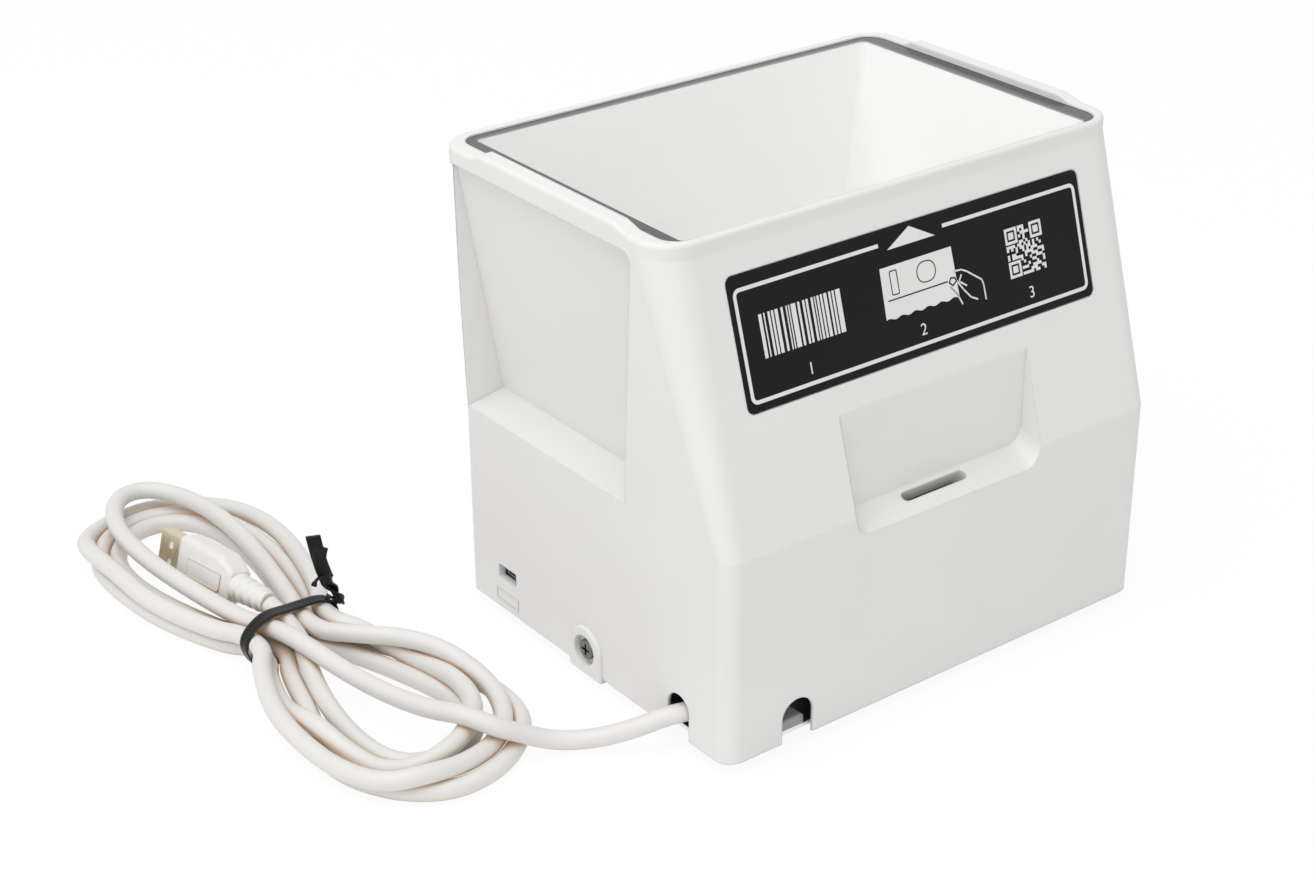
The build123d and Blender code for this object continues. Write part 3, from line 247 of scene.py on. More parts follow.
def settle(laid, held_first, held_last):
    """Lets the strands push apart and sink, and gives their new control points."""
    laid = np.array(laid, dtype=float)
    points = laid.copy()
    free = np.ones(len(points), dtype=bool)
    free[:held_first] = False
    free[len(points) - held_last:] = False
    for step in range(STEPS):
        line = sampled(points)
        if step % LOOK_UP == 0:
            apart = np.linalg.norm(line[:, None] - line[None], axis=2)
            first, second = np.nonzero(apart < LOOKED_AT)
            far_along = np.abs(first - second) > NEAR_ALONG
            first, second = first[far_along], second[far_along]
        gap = line[first] - line[second]
        distance = np.maximum(np.linalg.norm(gap, axis=1), 0.01)
        close = distance < TOUCHING
        push = gap[close] * ((TOUCHING - distance[close]) / distance[close] * 0.5)[:, None]
        moves = np.zeros_like(line)
        number = np.zeros((len(line), 1))
        np.add.at(moves, first[close], push)
        np.add.at(number, first[close], 1)
        moves /= np.maximum(number, 1)
        moves[:, 2] += np.maximum(0, CORD_RADIUS + 0.05 - line[:, 2])
        in_tie = np.abs(line[:, 1] - TIE_Y) < TIE_REACH
        for axis, row in ((0, 0), (2, 1)):
            held = np.clip(line[in_tie, axis], tie_low[row], tie_high[row])
            moves[in_tie, axis] += held - line[in_tie, axis]
        moves += plug_push(line)
        points[free] += spread_back(moves, len(points))[free]
        late = step > STEPS * CALM_FROM
        points[free, 2] -= SINK[late]
        points[free] += (laid - points)[free] * HOLD[late]
        points[free, 2] = np.maximum(points[free, 2], CORD_RADIUS + 0.02)
        points[free, 0] = np.maximum(points[free, 0], LEFT_LIMIT)
        points[free, 1] = np.minimum(points[free, 1], REAR_LIMIT)
        points = points.round(4)
    return points


# %% Let the hank settle
settled = settle(route + hank, len(route), len(to_the_plug))
line = sampled(settled)
apart = np.linalg.norm(line[:, None] - line[None], axis=2)
rows = np.arange(len(line))
not_near = np.abs(rows[:, None] - rows[None]) > NEAR_ALONG
print("closest strands", round(float(apart[not_near].min()), 2), "mm between their middles")

# %% The cord as one curve
def add_point(spline, place, first=False):
    """Puts a control point, given in millimetres, at the end of a spline."""
    if not first:
        spline.points.add(1)
    spline.points[-1].co = (place[0] * MM, place[1] * MM, place[2] * MM, 1.0)
    spline.points[-1].radius = CORD_RADIUS * MM


cord_data = bpy.data.curves.new("lead", "CURVE")
cord_data.dimensions = "3D"
strand = cord_data.splines.new("NURBS")
add_point(strand, route[0], first=True)
for place in settled.tolist()[1:]:
    add_point(strand, place)
strand.order_u = 3
strand.use_endpoint_u = True
strand.resolution_u = 7
strand.use_smooth = True


# A mesh is made from the curve while it is still a line without a thickness, and removed
# again.
mesh = mesh_of(cord_data)
bpy.data.meshes.remove(mesh)
cord_data.bevel_depth = 1.0
cord_data.bevel_resolution = 5
cord_data.use_fill_caps = True
lead = placed("lead", cord_data)
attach(lead, "base")
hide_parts("cord", "cord_hank")

# %% [markdown]
# Floor, sky and finishes are all trees of shader nodes, so a few short helpers come first.

# %% Helpers for node trees
def set_inputs(node, values):
    """Sets a node's inputs by name, where _ stands for a space."""
    for label, value in values.items():
        node.inputs[label.replace("_", " ")].default_value = value
    return node


def added(tree, kind, **values):
    """A new shader node with some of its inputs set."""
    return set_inputs(tree.nodes.new("ShaderNode" + kind), values)


def wire(tree, *links):
    """Makes links, each given as a node, its output, another node and its input."""
    for source, output, target, slot in links:
        tree.links.new(source.outputs[output], target.inputs[slot])


def blend_shaders(tree, factor, first, second, output):
    """Leads two shaders, mixed by a factor, to an output node."""
    node = added(tree, "MixShader")
    tree.links.new(factor, node.inputs["Fac"])
    wire(tree, (first, 0, node, 1), (second, 0, node, 2),
         (node, 0, tree.nodes[output], "Surface"))


def white_to_the_eye(tree):
    """A value that is 1 for camera, glossy and transmission rays, and 0 for the others."""
    path = added(tree, "LightPath")
    first, second = added(tree, "Math"), added(tree, "Math")
    first.operation = second.operation = "MAXIMUM"
    wire(tree, (path, "Is Camera Ray", first, 0), (path, "Is Glossy Ray", first, 1),
         (first, 0, second, 0), (path, "Is Transmission Ray", second, 1))
    return second.outputs[0]


# %% [markdown]
# The scanner was photographed on a white sweep, so the floor and the world show plain white
# to the camera, to reflections and through glass. Every other ray meets an ordinary pale
# floor and a soft sky, which is what lights the plastic, and a part of the floor's white is
# a real diffuse surface, so the scanner's shadow stays on it.

# %% Floor
FLOOR_HALF_SIZE = 3.0
FLOOR_DROP = 0.0002
FLOOR_WHITE_SHARE = 0.93
sheet_mesh = bmesh.new()
bmesh.ops.create_grid(sheet_mesh, x_segments=2, y_segments=2, size=FLOOR_HALF_SIZE)
bmesh.ops.translate(sheet_mesh, verts=sheet_mesh.verts, vec=(0, 0, -FLOOR_DROP))
floor_data = bpy.data.meshes.new("floor")
sheet_mesh.to_mesh(floor_data)
sheet_mesh.free()
floor = placed("floor", floor_data)

paper = bpy.data.materials.new("white_sweep")
paper.use_nodes = True
tree = paper.node_tree
tree.nodes.remove(tree.nodes["Principled BSDF"])
plain = added(tree, "BsdfDiffuse", Color=(0.92, 0.92, 0.92, 1))
glow = added(tree, "Emission", Color=(1, 1, 1, 1))
share = added(tree, "Math")
share.operation = "MULTIPLY"
share.inputs[1].default_value = FLOOR_WHITE_SHARE
tree.links.new(white_to_the_eye(tree), share.inputs[0])
blend_shaders(tree, share.outputs[0], plain, glow, "Material Output")
floor_data.materials.append(paper)
print("floor made,", FLOOR_WHITE_SHARE, "of its white is plain")

# %% World
SKY_STRENGTH = 0.62
world = bpy.data.worlds.new("soft_sky")
scene.world = world
world.use_nodes = True
sky = world.node_tree
seen = set_inputs(sky.nodes["Background"], {"Color": (1, 1, 1, 1), "Strength": 1.0})
lit = added(sky, "Background", Color=(1.0, 0.995, 0.985, 1), Strength=SKY_STRENGTH)
blend_shaders(sky, white_to_the_eye(sky), lit, seen, "World Output")
scene.view_settings.view_transform = "Standard"
print("sky made, of strength", SKY_STRENGTH)

# %% [markdown]
# Three wide lamps do the work of a studio's soft boxes. One hangs above, over the cord, so
# ledges come out brighter than walls and the left side isn't darker than the front. The
# other two are weak and fill those two walls, so that they come out nearly alike.

# %% Lamps: name, place in metres, side in metres and power in watts
LAMPS = (
    ("lamp_above", (-0.46, -0.06, 1.25), 1.1, 9.5),
    ("lamp_front", (-0.50, -1.25, 0.45), 0.9, 1.2),
    ("lamp_left", (-1.30, -0.20, 0.45), 0.9, 1.3),
)
SCANNER_MIDDLE = Vector((-0.03, 0.02, 0.06))
for name, place, size, power in LAMPS:
    lamp = bpy.data.lights.new(name, "AREA")
    lamp.shape = "SQUARE"
    lamp.size = size
    lamp.energy = power
    holder = placed(name, lamp)
    holder.location = place
    to_scanner = SCANNER_MIDDLE - Vector(place)
    holder.rotation_euler = to_scanner.to_track_quat("-Z", "Y").to_euler()
    print(name, "of", power, "W")

# %% [markdown]
# Three effects come back in nearly every finish, so each is a node group. The first is the
# fine grain of a mould or a casting, with a broad, slow change of tone over it. The second
# finds edges: it compares the true normal with one that is rounded over a small radius, and
# gives both that rounded normal and a mask along the edge. The third draws the streaks that
# brushing or turning leaves in metal.

# %% Effect: grain
def new_group(name, floats_in, floats_out, vectors_out=()):
    """An empty shader node group with its input and output nodes."""
    group = bpy.data.node_groups.new(name, "ShaderNodeTree")
    for label, value in floats_in:
        socket = group.interface.new_socket(label, in_out="INPUT",
                                            socket_type="NodeSocketFloat")
        socket.default_value = value
    for kind, labels in (("Float", floats_out), ("Vector", vectors_out)):
        for label in labels:
            group.interface.new_socket(label, in_out="OUTPUT",
                                       socket_type="NodeSocket" + kind)
    into = group.nodes.new("NodeGroupInput")
    out = group.nodes.new("NodeGroupOutput")
    return group, into, out


grain, into, out = new_group("mould_grain", [("Scale", 900.0)], ["Fine", "Broad"])
place = added(grain, "TexCoord")
fine = added(grain, "TexNoise", Detail=3.0, Roughness=0.6)
broad = added(grain, "TexNoise", Scale=22.0, Detail=4.0)
wire(grain, (place, "Object", fine, "Vector"), (place, "Object", broad, "Vector"),
     (into, "Scale", fine, "Scale"), (fine, "Fac", out, "Fine"), (broad, "Fac", out, "Broad"))
print("group", grain.name)

# %% Effect: rounded edges
edges, into, out = new_group("soft_edges", [("Radius", 0.0006)], ["Mask"], ["Normal"])
rounded = added(edges, "Bevel")
rounded.samples = 4
true = added(edges, "NewGeometry")
alike = added(edges, "VectorMath")
alike.operation = "DOT_PRODUCT"
mask = added(edges, "MapRange", From_Min=0.995, From_Max=0.90)
wire(edges, (into, "Radius", rounded, "Radius"), (rounded, "Normal", alike, 0),
     (true, "True Normal", alike, 1), (alike, "Value", mask, "Value"),
     (mask, "Result", out, "Mask"), (rounded, "Normal", out, "Normal"))
print("group", edges.name)

# %% Effect: streaks
streaks, into, out = new_group("brushed_streaks", [("Along", 30.0), ("Across", 2500.0)],
                               ["Lines"])
place = added(streaks, "TexCoord")
pull = added(streaks, "CombineXYZ")
stretched = added(streaks, "VectorMath")
stretched.operation = "MULTIPLY"
hair = added(streaks, "TexNoise", Scale=1.0, Detail=2.0)
wire(streaks, (into, "Across", pull, "X"), (into, "Along", pull, "Y"),
     (into, "Across", pull, "Z"), (place, "Object", stretched, 0),
     (pull, "Vector", stretched, 1), (stretched, "Vector", hair, "Vector"),
     (hair, "Fac", out, "Lines"))
print("group", streaks.name)

# %% [markdown]
# A moulded or coated finish is one recipe with different numbers: two close tones that the
# broad noise mixes, a lighter or darker tone along the edges that is a painted highlight (on
# the painted steel also its bare cut metal), a roughness that wanders a little, and the grain
# as a bump on the rounded normal.

# %% Recipe: moulded finish
# A Mix node has sockets of every type, and these are the ones of its colours.
LOW_COLOUR, HIGH_COLOUR, MIXED_COLOUR = 6, 7, 2


def blend_of(tree, factor, low, high):
    """A colour between two, by a factor from 0 to 1."""
    node = added(tree, "Mix")
    node.data_type = "RGBA"
    node.inputs[LOW_COLOUR].default_value = (*low, 1)
    node.inputs[HIGH_COLOUR].default_value = (*high, 1)
    tree.links.new(factor, node.inputs[0])
    return node


def spread_of(tree, factor, low, high):
    """A number that runs from low to high as the factor goes over the middle of a noise."""
    node = added(tree, "MapRange", From_Min=0.35, From_Max=0.65, To_Min=low, To_Max=high)
    tree.links.new(factor, node.inputs["Value"])
    return node.outputs["Result"]


def new_finish(name, **settings):
    """A material with plain numbers set on its shader, and its tree and shader."""
    material = bpy.data.materials.new(name)
    material.use_nodes = True
    tree = material.node_tree
    return material, tree, set_inputs(tree.nodes["Principled BSDF"], settings)


def effect(tree, group, **values):
    """One of the effect groups, with its inputs set."""
    node = tree.nodes.new("ShaderNodeGroup")
    node.node_tree = group
    return set_inputs(node, values)


def raise_relief(tree, shader, source, height, rim, strength, distance):
    """Bumps a shader's surface by a height, on top of the rounded normal."""
    relief = added(tree, "Bump", Strength=strength, Distance=distance)
    wire(tree, (source, height, relief, "Height"), (rim, "Normal", relief, "Normal"),
         (relief, "Normal", shader, "Normal"))


def moulded(name, tone, shade, edge_tone, rough, scale=900.0, bump=0.06, radius=0.0006,
            **settings):
    """A plastic, rubber or paint: two tones, rounded edges with a painted highlight, and a
    fine grain.
    """
    material, tree, shader = new_finish(name, **settings)
    speckle = effect(tree, grain, Scale=scale)
    rim = effect(tree, edges, Radius=radius)
    wide_mask = spread_of(tree, speckle.outputs["Broad"], 0.0, 1.0)
    tones = blend_of(tree, wide_mask, tone, shade)
    # A lighter tone along the edges: painted highlight, and on the painted steel also its bare
    # cut metal.
    edge_highlight_and_bare_metal = blend_of(tree, rim.outputs["Mask"], tone, edge_tone)
    wire(tree, (tones, MIXED_COLOUR, edge_highlight_and_bare_metal, LOW_COLOUR),
         (edge_highlight_and_bare_metal, MIXED_COLOUR, shader, "Base Color"))
    wander = spread_of(tree, speckle.outputs["Broad"], rough - 0.03, rough + 0.03)
    tree.links.new(wander, shader.inputs["Roughness"])
    raise_relief(tree, shader, speckle, "Fine", rim, bump, 0.0002)
    return material


def dress(material, *names):
    """Gives a finish to CAD nodes."""
    for name in names:
        mesh = nodes[name].data
        mesh.materials.clear()
        mesh.materials.append(material)
    print(material.name, "on", ", ".join(names))


# %% [markdown]
# The cover is a cool off-white moulding with a fine satin texture, and a lighter tone along
# its edges is a painted highlight for the light they catch. The light box inside is whiter and
# flatter, so that it spreads light evenly.

# %% Cover and light box
# The third tone, lighter, is the painted highlight along the edges.
dress(moulded("cover_white", (0.775, 0.772, 0.764), (0.760, 0.757, 0.749),
              (0.800, 0.797, 0.790), 0.46, radius=0.0008, Specular_IOR_Level=0.4),
      "outer_cover")
dress(moulded("box_white", (0.860, 0.856, 0.848), (0.845, 0.841, 0.833),
              (0.87, 0.87, 0.86), 0.55, bump=0.03),
      "light_box", "camera_spacers", "optics_tray", "light_strip_left",
      "light_strip_right", "cord_socket", "cord_connector", "plug_tongue")

# %% [markdown]
# Dark parts: the foam gasket that shows as a border through the glass, the film of the
# label, the painted steel base seen in the arches, the rubber feet, and the black mouldings
# of the chips and the lens holder. Each has its own grain size and gloss.

# %% Dark finishes
# The third tone of each is lighter: a painted edge highlight, and for the painted steel also
# its bare cut metal.
dress(moulded("gasket_foam", (0.085, 0.082, 0.078), (0.110, 0.106, 0.100),
              (0.13, 0.13, 0.12), 0.85, scale=2600.0, bump=0.5, radius=0.0002),
      "window_gasket")
film = moulded("label_film", (0.0085, 0.0075, 0.0085), (0.0105, 0.0095, 0.0105),
               (0.04, 0.04, 0.04), 0.50, scale=4000.0, bump=0.05, radius=0.0002,
               Specular_IOR_Level=0.12)
dress(film, "front_label")
dress(moulded("painted_steel", (0.055, 0.066, 0.085), (0.075, 0.088, 0.110),
              (0.70, 0.72, 0.74), 0.38, scale=1500.0, bump=0.25, radius=0.0004,
              Metallic=0.35),
      "base_plate", "cover_catches")
dress(moulded("foot_rubber", (0.022, 0.022, 0.023), (0.034, 0.034, 0.034),
              (0.06, 0.06, 0.06), 0.78, scale=1800.0, bump=0.35),
      "rubber_feet")
dress(moulded("chip_black", (0.020, 0.020, 0.021), (0.028, 0.028, 0.029),
              (0.07, 0.07, 0.07), 0.55, scale=3000.0, bump=0.2, radius=0.0003),
      "board_chips", "sounder", "image_sensor", "lens_holder")

# %% [markdown]
# Metals: a bare metal is lighter than its reflections make it seem, so the recipe gives it a
# clean colour, full metallic and a roughness that the streaks break up. The inner screws
# are bright nickel and the two of the cover a duller one, the standoffs are brass, the lens
# is black anodised, and the plug's shell a warm nickel that the camera sees brushed.

# %% Recipe: metal
def metal(name, tone, shade, rough, along=30.0, across=2500.0, bump=0.12):
    """A bare metal with streaks from brushing or turning."""
    material, tree, shader = new_finish(name, Metallic=1.0)
    lines = effect(tree, streaks, Along=along, Across=across)
    rim = effect(tree, edges, Radius=0.0002)
    tones = blend_of(tree, lines.outputs["Lines"], shade, tone)
    wire(tree, (tones, MIXED_COLOUR, shader, "Base Color"))
    wander = spread_of(tree, lines.outputs["Lines"], rough - 0.06, rough + 0.08)
    tree.links.new(wander, shader.inputs["Roughness"])
    raise_relief(tree, shader, lines, "Lines", rim, bump, 0.0001)
    return material


# %% Metals
dress(metal("bright_nickel", (0.74, 0.73, 0.71), (0.50, 0.49, 0.48), 0.22),
      "cover_nuts", "board_screws", "camera_screws", "tray_screws", "clamp_screw")
dress(metal("grey_nickel", (0.24, 0.235, 0.23), (0.12, 0.118, 0.115), 0.34),
      "cover_screw_left", "cover_screw_right")
dress(metal("turned_brass", (0.72, 0.56, 0.28), (0.58, 0.43, 0.20), 0.28),
      "board_standoffs", "tray_posts")
dress(metal("black_anodised", (0.045, 0.045, 0.048), (0.025, 0.025, 0.027), 0.36),
      "lens_barrel")
dress(metal("shell_nickel", (0.74, 0.64, 0.49), (0.62, 0.53, 0.40), 0.30, along=4000.0,
            across=150.0, bump=0.08), "plug_shell")
dress(metal("gold_plate", (0.86, 0.60, 0.20), (0.72, 0.46, 0.12), 0.24), "plug_contacts")

# %% [markdown]
# The plate was cut after it was painted, so its cut edges are bare. They show as a bright
# line in the arches. They are the upright faces below the plate's top.

# %% Cut edges of the base plate
PLATE_TOP = 4.9 * MM
UPRIGHT = 0.1
cut_edge = metal("cut_edge", (0.88, 0.88, 0.87), (0.80, 0.80, 0.79), 0.40)
plate = nodes["base_plate"].data
plate.materials.append(cut_edge)
bare = [side for side in plate.polygons
        if abs(side.normal.z) < UPRIGHT and side.center.z < PLATE_TOP]
for side in bare:
    side.material_index = 1
print("bare edges on", len(bare), "faces")

# %% [markdown]
# The window is clear float glass. Its colour and roughness come from faint handling marks,
# and metallic and transmission stay plain numbers. Cycles lets no lamp shine through such
# glass without caustics, so for shadow rays alone it is swapped for a clear shader, and the
# light box under it is lit as it should be. The small front glass of the lens has a violet
# coating.

# %% Glass
def clear_glass(name, tint, mark, coat=0.0):
    """Clear glass with faint marks in its polish."""
    material, tree, shader = new_finish(name, Transmission_Weight=1.0, IOR=1.46,
                                        Coat_Weight=coat)
    speckle = effect(tree, grain, Scale=60.0)
    tones = blend_of(tree, speckle.outputs["Broad"], tint, mark)
    wire(tree, (tones, MIXED_COLOUR, shader, "Base Color"))
    polish = spread_of(tree, speckle.outputs["Fine"], 0.0, 0.012)
    tree.links.new(polish, shader.inputs["Roughness"])
    path = added(tree, "LightPath")
    blend_shaders(tree, path.outputs["Is Shadow Ray"], shader, added(tree, "BsdfTransparent"),
                  "Material Output")
    return material


dress(clear_glass("window_clear", (0.985, 0.995, 0.99), (0.975, 0.985, 0.98)),
      "window_glass")
dress(clear_glass("lens_coated", (0.72, 0.66, 0.90), (0.62, 0.60, 0.86), coat=0.5),
      "lens_glass")

# %% [markdown]
# Circuit boards are green lacquer over copper, and the copper shows as slightly raised,
# lighter tracks. A brick pattern gives straight tracks with breaks, close enough for boards
# that only show when the cover is off. The ribbon has fine copper lines along it, and each
# light is a clear cap over a yellow dot.

# %% Boards, ribbon and lights
def striped(name, tone, line_tone, rough, pitch, width, turned_by=0):
    """Lacquer or film with fine lines, at a pitch in millimetres and turned by an angle."""
    material = moulded(name, tone, tone, line_tone, rough, scale=1400.0, bump=0.05)
    tree = material.node_tree
    place = added(tree, "TexCoord")
    turned = added(tree, "Mapping", Rotation=(0, 0, math.radians(turned_by)))
    darker = [c * 0.8 for c in tone]
    tracks = added(tree, "TexBrick", Color1=(*tone, 1), Color2=(*darker, 1),
                   Mortar=(*line_tone, 1), Scale=1 / (pitch * MM), Mortar_Size=width / pitch,
                   Brick_Width=9.0, Row_Height=1.0)
    wire(tree, (place, "Object", turned, "Vector"), (turned, "Vector", tracks, "Vector"),
         (tracks, "Color", tree.nodes["Principled BSDF"], "Base Color"))
    return material


dress(striped("board_green", (0.018, 0.095, 0.045), (0.05, 0.20, 0.08), 0.30, 1.9, 0.16),
      "main_board", "camera_board")
dress(striped("ribbon_amber", (0.52, 0.26, 0.06), (0.78, 0.48, 0.16), 0.30, 0.8, 0.12,
              turned_by=90), "camera_ribbon")
dress(moulded("light_cap", (0.86, 0.78, 0.34), (0.80, 0.70, 0.26),
              (0.92, 0.90, 0.78), 0.20, scale=500.0, radius=0.0004),
      "strip_lights_left", "strip_lights_right")
dress(moulded("clear_nylon", (0.70, 0.73, 0.75), (0.62, 0.65, 0.68),
              (0.86, 0.88, 0.89), 0.28, scale=700.0, bump=0.1, Transmission_Weight=0.55),
      "cord_saddle", "cord_clamp")

# %% [markdown]
# The lead's sleeve is a soft warm white with the lightest sheen, a little marked from
# handling. Light that falls between two strands is passed from one to the other and comes
# out tan, and that warm shade is painted into the base colour where the surface is shut in.
# The grip of the plug has the same finish, a touch whiter and harder.

# %% Cord sleeve and grip
def painted_gap_shade(material, tint, reach):
    """Paints a warm shade into a finish's colour where other surfaces stand closer than a
    reach in metres.
    """
    tree = material.node_tree
    base = tree.nodes["Principled BSDF"].inputs["Base Color"]
    tone = base.links[0].from_socket
    # The occlusion mask paints a warm shade into the base colour where the surface is shut in.
    shut_in = added(tree, "AmbientOcclusion", Distance=reach)
    shut_in.samples = 8
    mask = spread_of(tree, shut_in.outputs["AO"], 1.0, 0.0)
    painted_shade = blend_of(tree, mask, tint, tint)
    tree.links.new(tone, painted_shade.inputs[LOW_COLOUR])
    tree.links.new(painted_shade.outputs[MIXED_COLOUR], base)


sleeve = moulded("lead_sleeve", (0.73, 0.718, 0.695), (0.705, 0.692, 0.67),
                 (0.74, 0.73, 0.71), 0.42, scale=420.0, bump=0.05)
# The sleeve gets a painted warm shade between its strands.
painted_gap_shade(sleeve, (0.70, 0.56, 0.43), 0.005)
cord_data.materials.append(sleeve)
grip_white = moulded("grip_white", (0.760, 0.752, 0.738), (0.740, 0.732, 0.717),
                     (0.785, 0.78, 0.77), 0.38, scale=1200.0, bump=0.04)
# The grip gets the same painted warm shade where it is shut in.
painted_gap_shade(grip_white, (0.72, 0.60, 0.48), 0.004)
print("sleeve and grip made")

# %% [markdown]
# The label is printed white on black film: a frame line that stops for a triangle over the
# middle, and under it three plain signs, one for each kind of document, with the numbers 1
# to 3. All prints are thin plates on the film. They are laid out flat, in millimetres from
# the kink of the front face up its slope, and a matrix stands them on the slope.

# %% From the flat layout to the slope
rise = Vector((0, 22.2, 72.5)).normalized()
outward = Vector((1, 0, 0)).cross(rise)
slope_foot = Vector((0, -59.85, 61.4)) * MM
on_slope = axes_at(slope_foot, Vector((1, 0, 0)), rise, outward) @ Matrix.Scale(MM, 4)
FILM_TOP = -0.10
INK = 0.03
INK_TOP = FILM_TOP + INK
print("slope rises by", round(rise.z, 3), "a millimetre")


# %% Helpers: plates, strokes, rings and finished pieces
def pour(source, target):
    """Adds one bmesh to another and frees it."""
    spare = bpy.data.meshes.new("spare")
    source.to_mesh(spare)
    source.free()
    target.from_mesh(spare)
    bpy.data.meshes.remove(spare)


def verts_in(items):
    """The vertices among the items that a bmesh operator gives back."""
    return [item for item in items if isinstance(item, bmesh.types.BMVert)]


def thicken(target, by):
    """Makes a flat sheet solid, by a distance upwards."""
    grown = bmesh.ops.extrude_face_region(target, geom=target.faces[:])["geom"]
    bmesh.ops.translate(target, verts=verts_in(grown), vec=(0, 0, by))
    bmesh.ops.recalc_face_normals(target, faces=target.faces[:])


def slab(target, x0, x1, y0, y1, low=FILM_TOP, high=INK_TOP, turned=0.0):
    """A thin plate of the flat layout, turned about its own middle."""
    made = bmesh.ops.create_cube(target, size=1.0)["verts"]
    middle = ((x0 + x1) / 2, (y0 + y1) / 2, (low + high) / 2)
    turn = Matrix.Rotation(turned, 3, "Z")
    bmesh.ops.scale(target, verts=made, vec=(x1 - x0, y1 - y0, high - low))
    bmesh.ops.rotate(target, verts=made, cent=(0, 0, 0), matrix=turn)
    bmesh.ops.translate(target, verts=made, vec=middle)


def stroke(target, places, width, low=FILM_TOP, high=INK_TOP):
    """A line of short plates from place to place."""
    for (x0, y0), (x1, y1) in zip(places, places[1:]):
        run = math.hypot(x1 - x0, y1 - y0) + width * 0.6
        x, y = (x0 + x1) / 2, (y0 + y1) / 2
        slab(target, x - run / 2, x + run / 2, y - width / 2, y + width / 2, low, high,
             math.atan2(y1 - y0, x1 - x0))


def rounded_sheet(width, height, corner, segments):
    """A flat rectangle about the origin, with rounded corners."""
    made = bmesh.new()
    bmesh.ops.create_grid(made, x_segments=1, y_segments=1, size=0.5)
    bmesh.ops.scale(made, verts=made.verts, vec=(width, height, 1))
    if corner:
        bmesh.ops.bevel(made, geom=made.verts[:], offset=corner, offset_type="OFFSET",
                        segments=segments, profile=0.5, affect="VERTICES", material=-1)
    return made


def ring_plate(target, x, y, width, height, corner, line, low=FILM_TOP, high=INK_TOP):
    """A rounded rectangle drawn as a line, with the line's width inside it."""
    made = rounded_sheet(width, height, corner, 6)
    rim = bmesh.ops.inset_region(made, faces=made.faces[:], thickness=line,
                                 use_boundary=True, use_even_offset=True)["faces"]
    inner = [face for face in made.faces if face not in rim]
    bmesh.ops.delete(made, geom=inner, context="FACES")
    thicken(made, high - low)
    bmesh.ops.translate(made, verts=made.verts, vec=(x, y, low))
    pour(made, target)


def finished(name, source, matrix, material, body, smooth=False):
    """Turns a bmesh into a piece of the scanner, placed by a matrix and given its finish."""
    bmesh.ops.transform(source, matrix=matrix, verts=source.verts)
    if matrix.determinant() < 0:
        bmesh.ops.reverse_faces(source, faces=source.faces[:])
    mesh = bpy.data.meshes.new(name)
    source.to_mesh(mesh)
    source.free()
    if smooth:
        mesh.shade_smooth()
    mesh.materials.append(material)
    piece = placed(name, mesh)
    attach(piece, body)
    print(name, "with", len(mesh.polygons), "faces")
    return piece


ink = moulded("label_ink", (0.76, 0.76, 0.755), (0.72, 0.72, 0.715), (0.78, 0.78, 0.78),
              0.50, scale=3000.0, bump=0.05, radius=0.0001)


def printed(name, source, material=ink):
    """A finished print of the label, stood on the slope."""
    finished(name, source, on_slope, material, "cover")


# %% Frame line and triangle
FRAME_MIDDLE, FRAME_WIDTH, FRAME_HEIGHT, FRAME_CORNER = 51.2, 116.2, 29.0, 2.0
GAP_LEFT, GAP_RIGHT = -11.3, 10.5
ARROW_HALF_WIDTH, ARROW_HEIGHT = 8.15, 4.35
frame_ink = bmesh.new()
ring_plate(frame_ink, 0, FRAME_MIDDLE, FRAME_WIDTH, FRAME_HEIGHT, FRAME_CORNER, 1.0)
for gap_edge in (GAP_LEFT, GAP_RIGHT):
    whole = frame_ink.verts[:] + frame_ink.edges[:] + frame_ink.faces[:]
    bmesh.ops.bisect_plane(frame_ink, geom=whole, plane_co=(gap_edge, 0, 0),
                           plane_no=(1, 0, 0))
middles = [(face, face.calc_center_median()) for face in frame_ink.faces]
gap = [face for face, middle in middles
       if GAP_LEFT < middle.x < GAP_RIGHT and middle.y > FRAME_MIDDLE]
bmesh.ops.delete(frame_ink, geom=gap, context="FACES")
arrow = bmesh.ops.create_circle(frame_ink, cap_ends=True, segments=3, radius=1.0)["verts"]
top = max(arrow, key=lambda vert: vert.co.y)
turn_up = Matrix.Rotation(math.pi / 2 - math.atan2(top.co.y, top.co.x), 3, "Z")
bmesh.ops.rotate(frame_ink, verts=arrow, cent=(0, 0, 0), matrix=turn_up)
# A triangle in a circle of radius 1 is 0.866 wide to each side and 1.5 high.
arrow_scale = (ARROW_HALF_WIDTH / 0.866, ARROW_HEIGHT / 1.5, 1)
bmesh.ops.scale(frame_ink, verts=arrow, vec=arrow_scale)
bmesh.ops.translate(frame_ink, verts=arrow, vec=(-0.5, 64.9, INK_TOP))
printed("label_frame", frame_ink)

# %% First sign: bars of chance widths, which say nothing
random.seed(5)
BARS_LEFT, BARS_RIGHT, BARS_FOOT, BARS_TOP = -51.7, -25.1, 47.0, 58.0
LAST_START = -26.0
bars = bmesh.new()
x = BARS_LEFT
while x < LAST_START:
    width = random.choice((0.4, 0.7, 1.0, 1.5))
    slab(bars, x, min(x + width, BARS_RIGHT), BARS_FOOT, BARS_TOP)
    x += width + random.choice((0.4, 0.4, 0.6, 0.9))
printed("label_bars", bars)

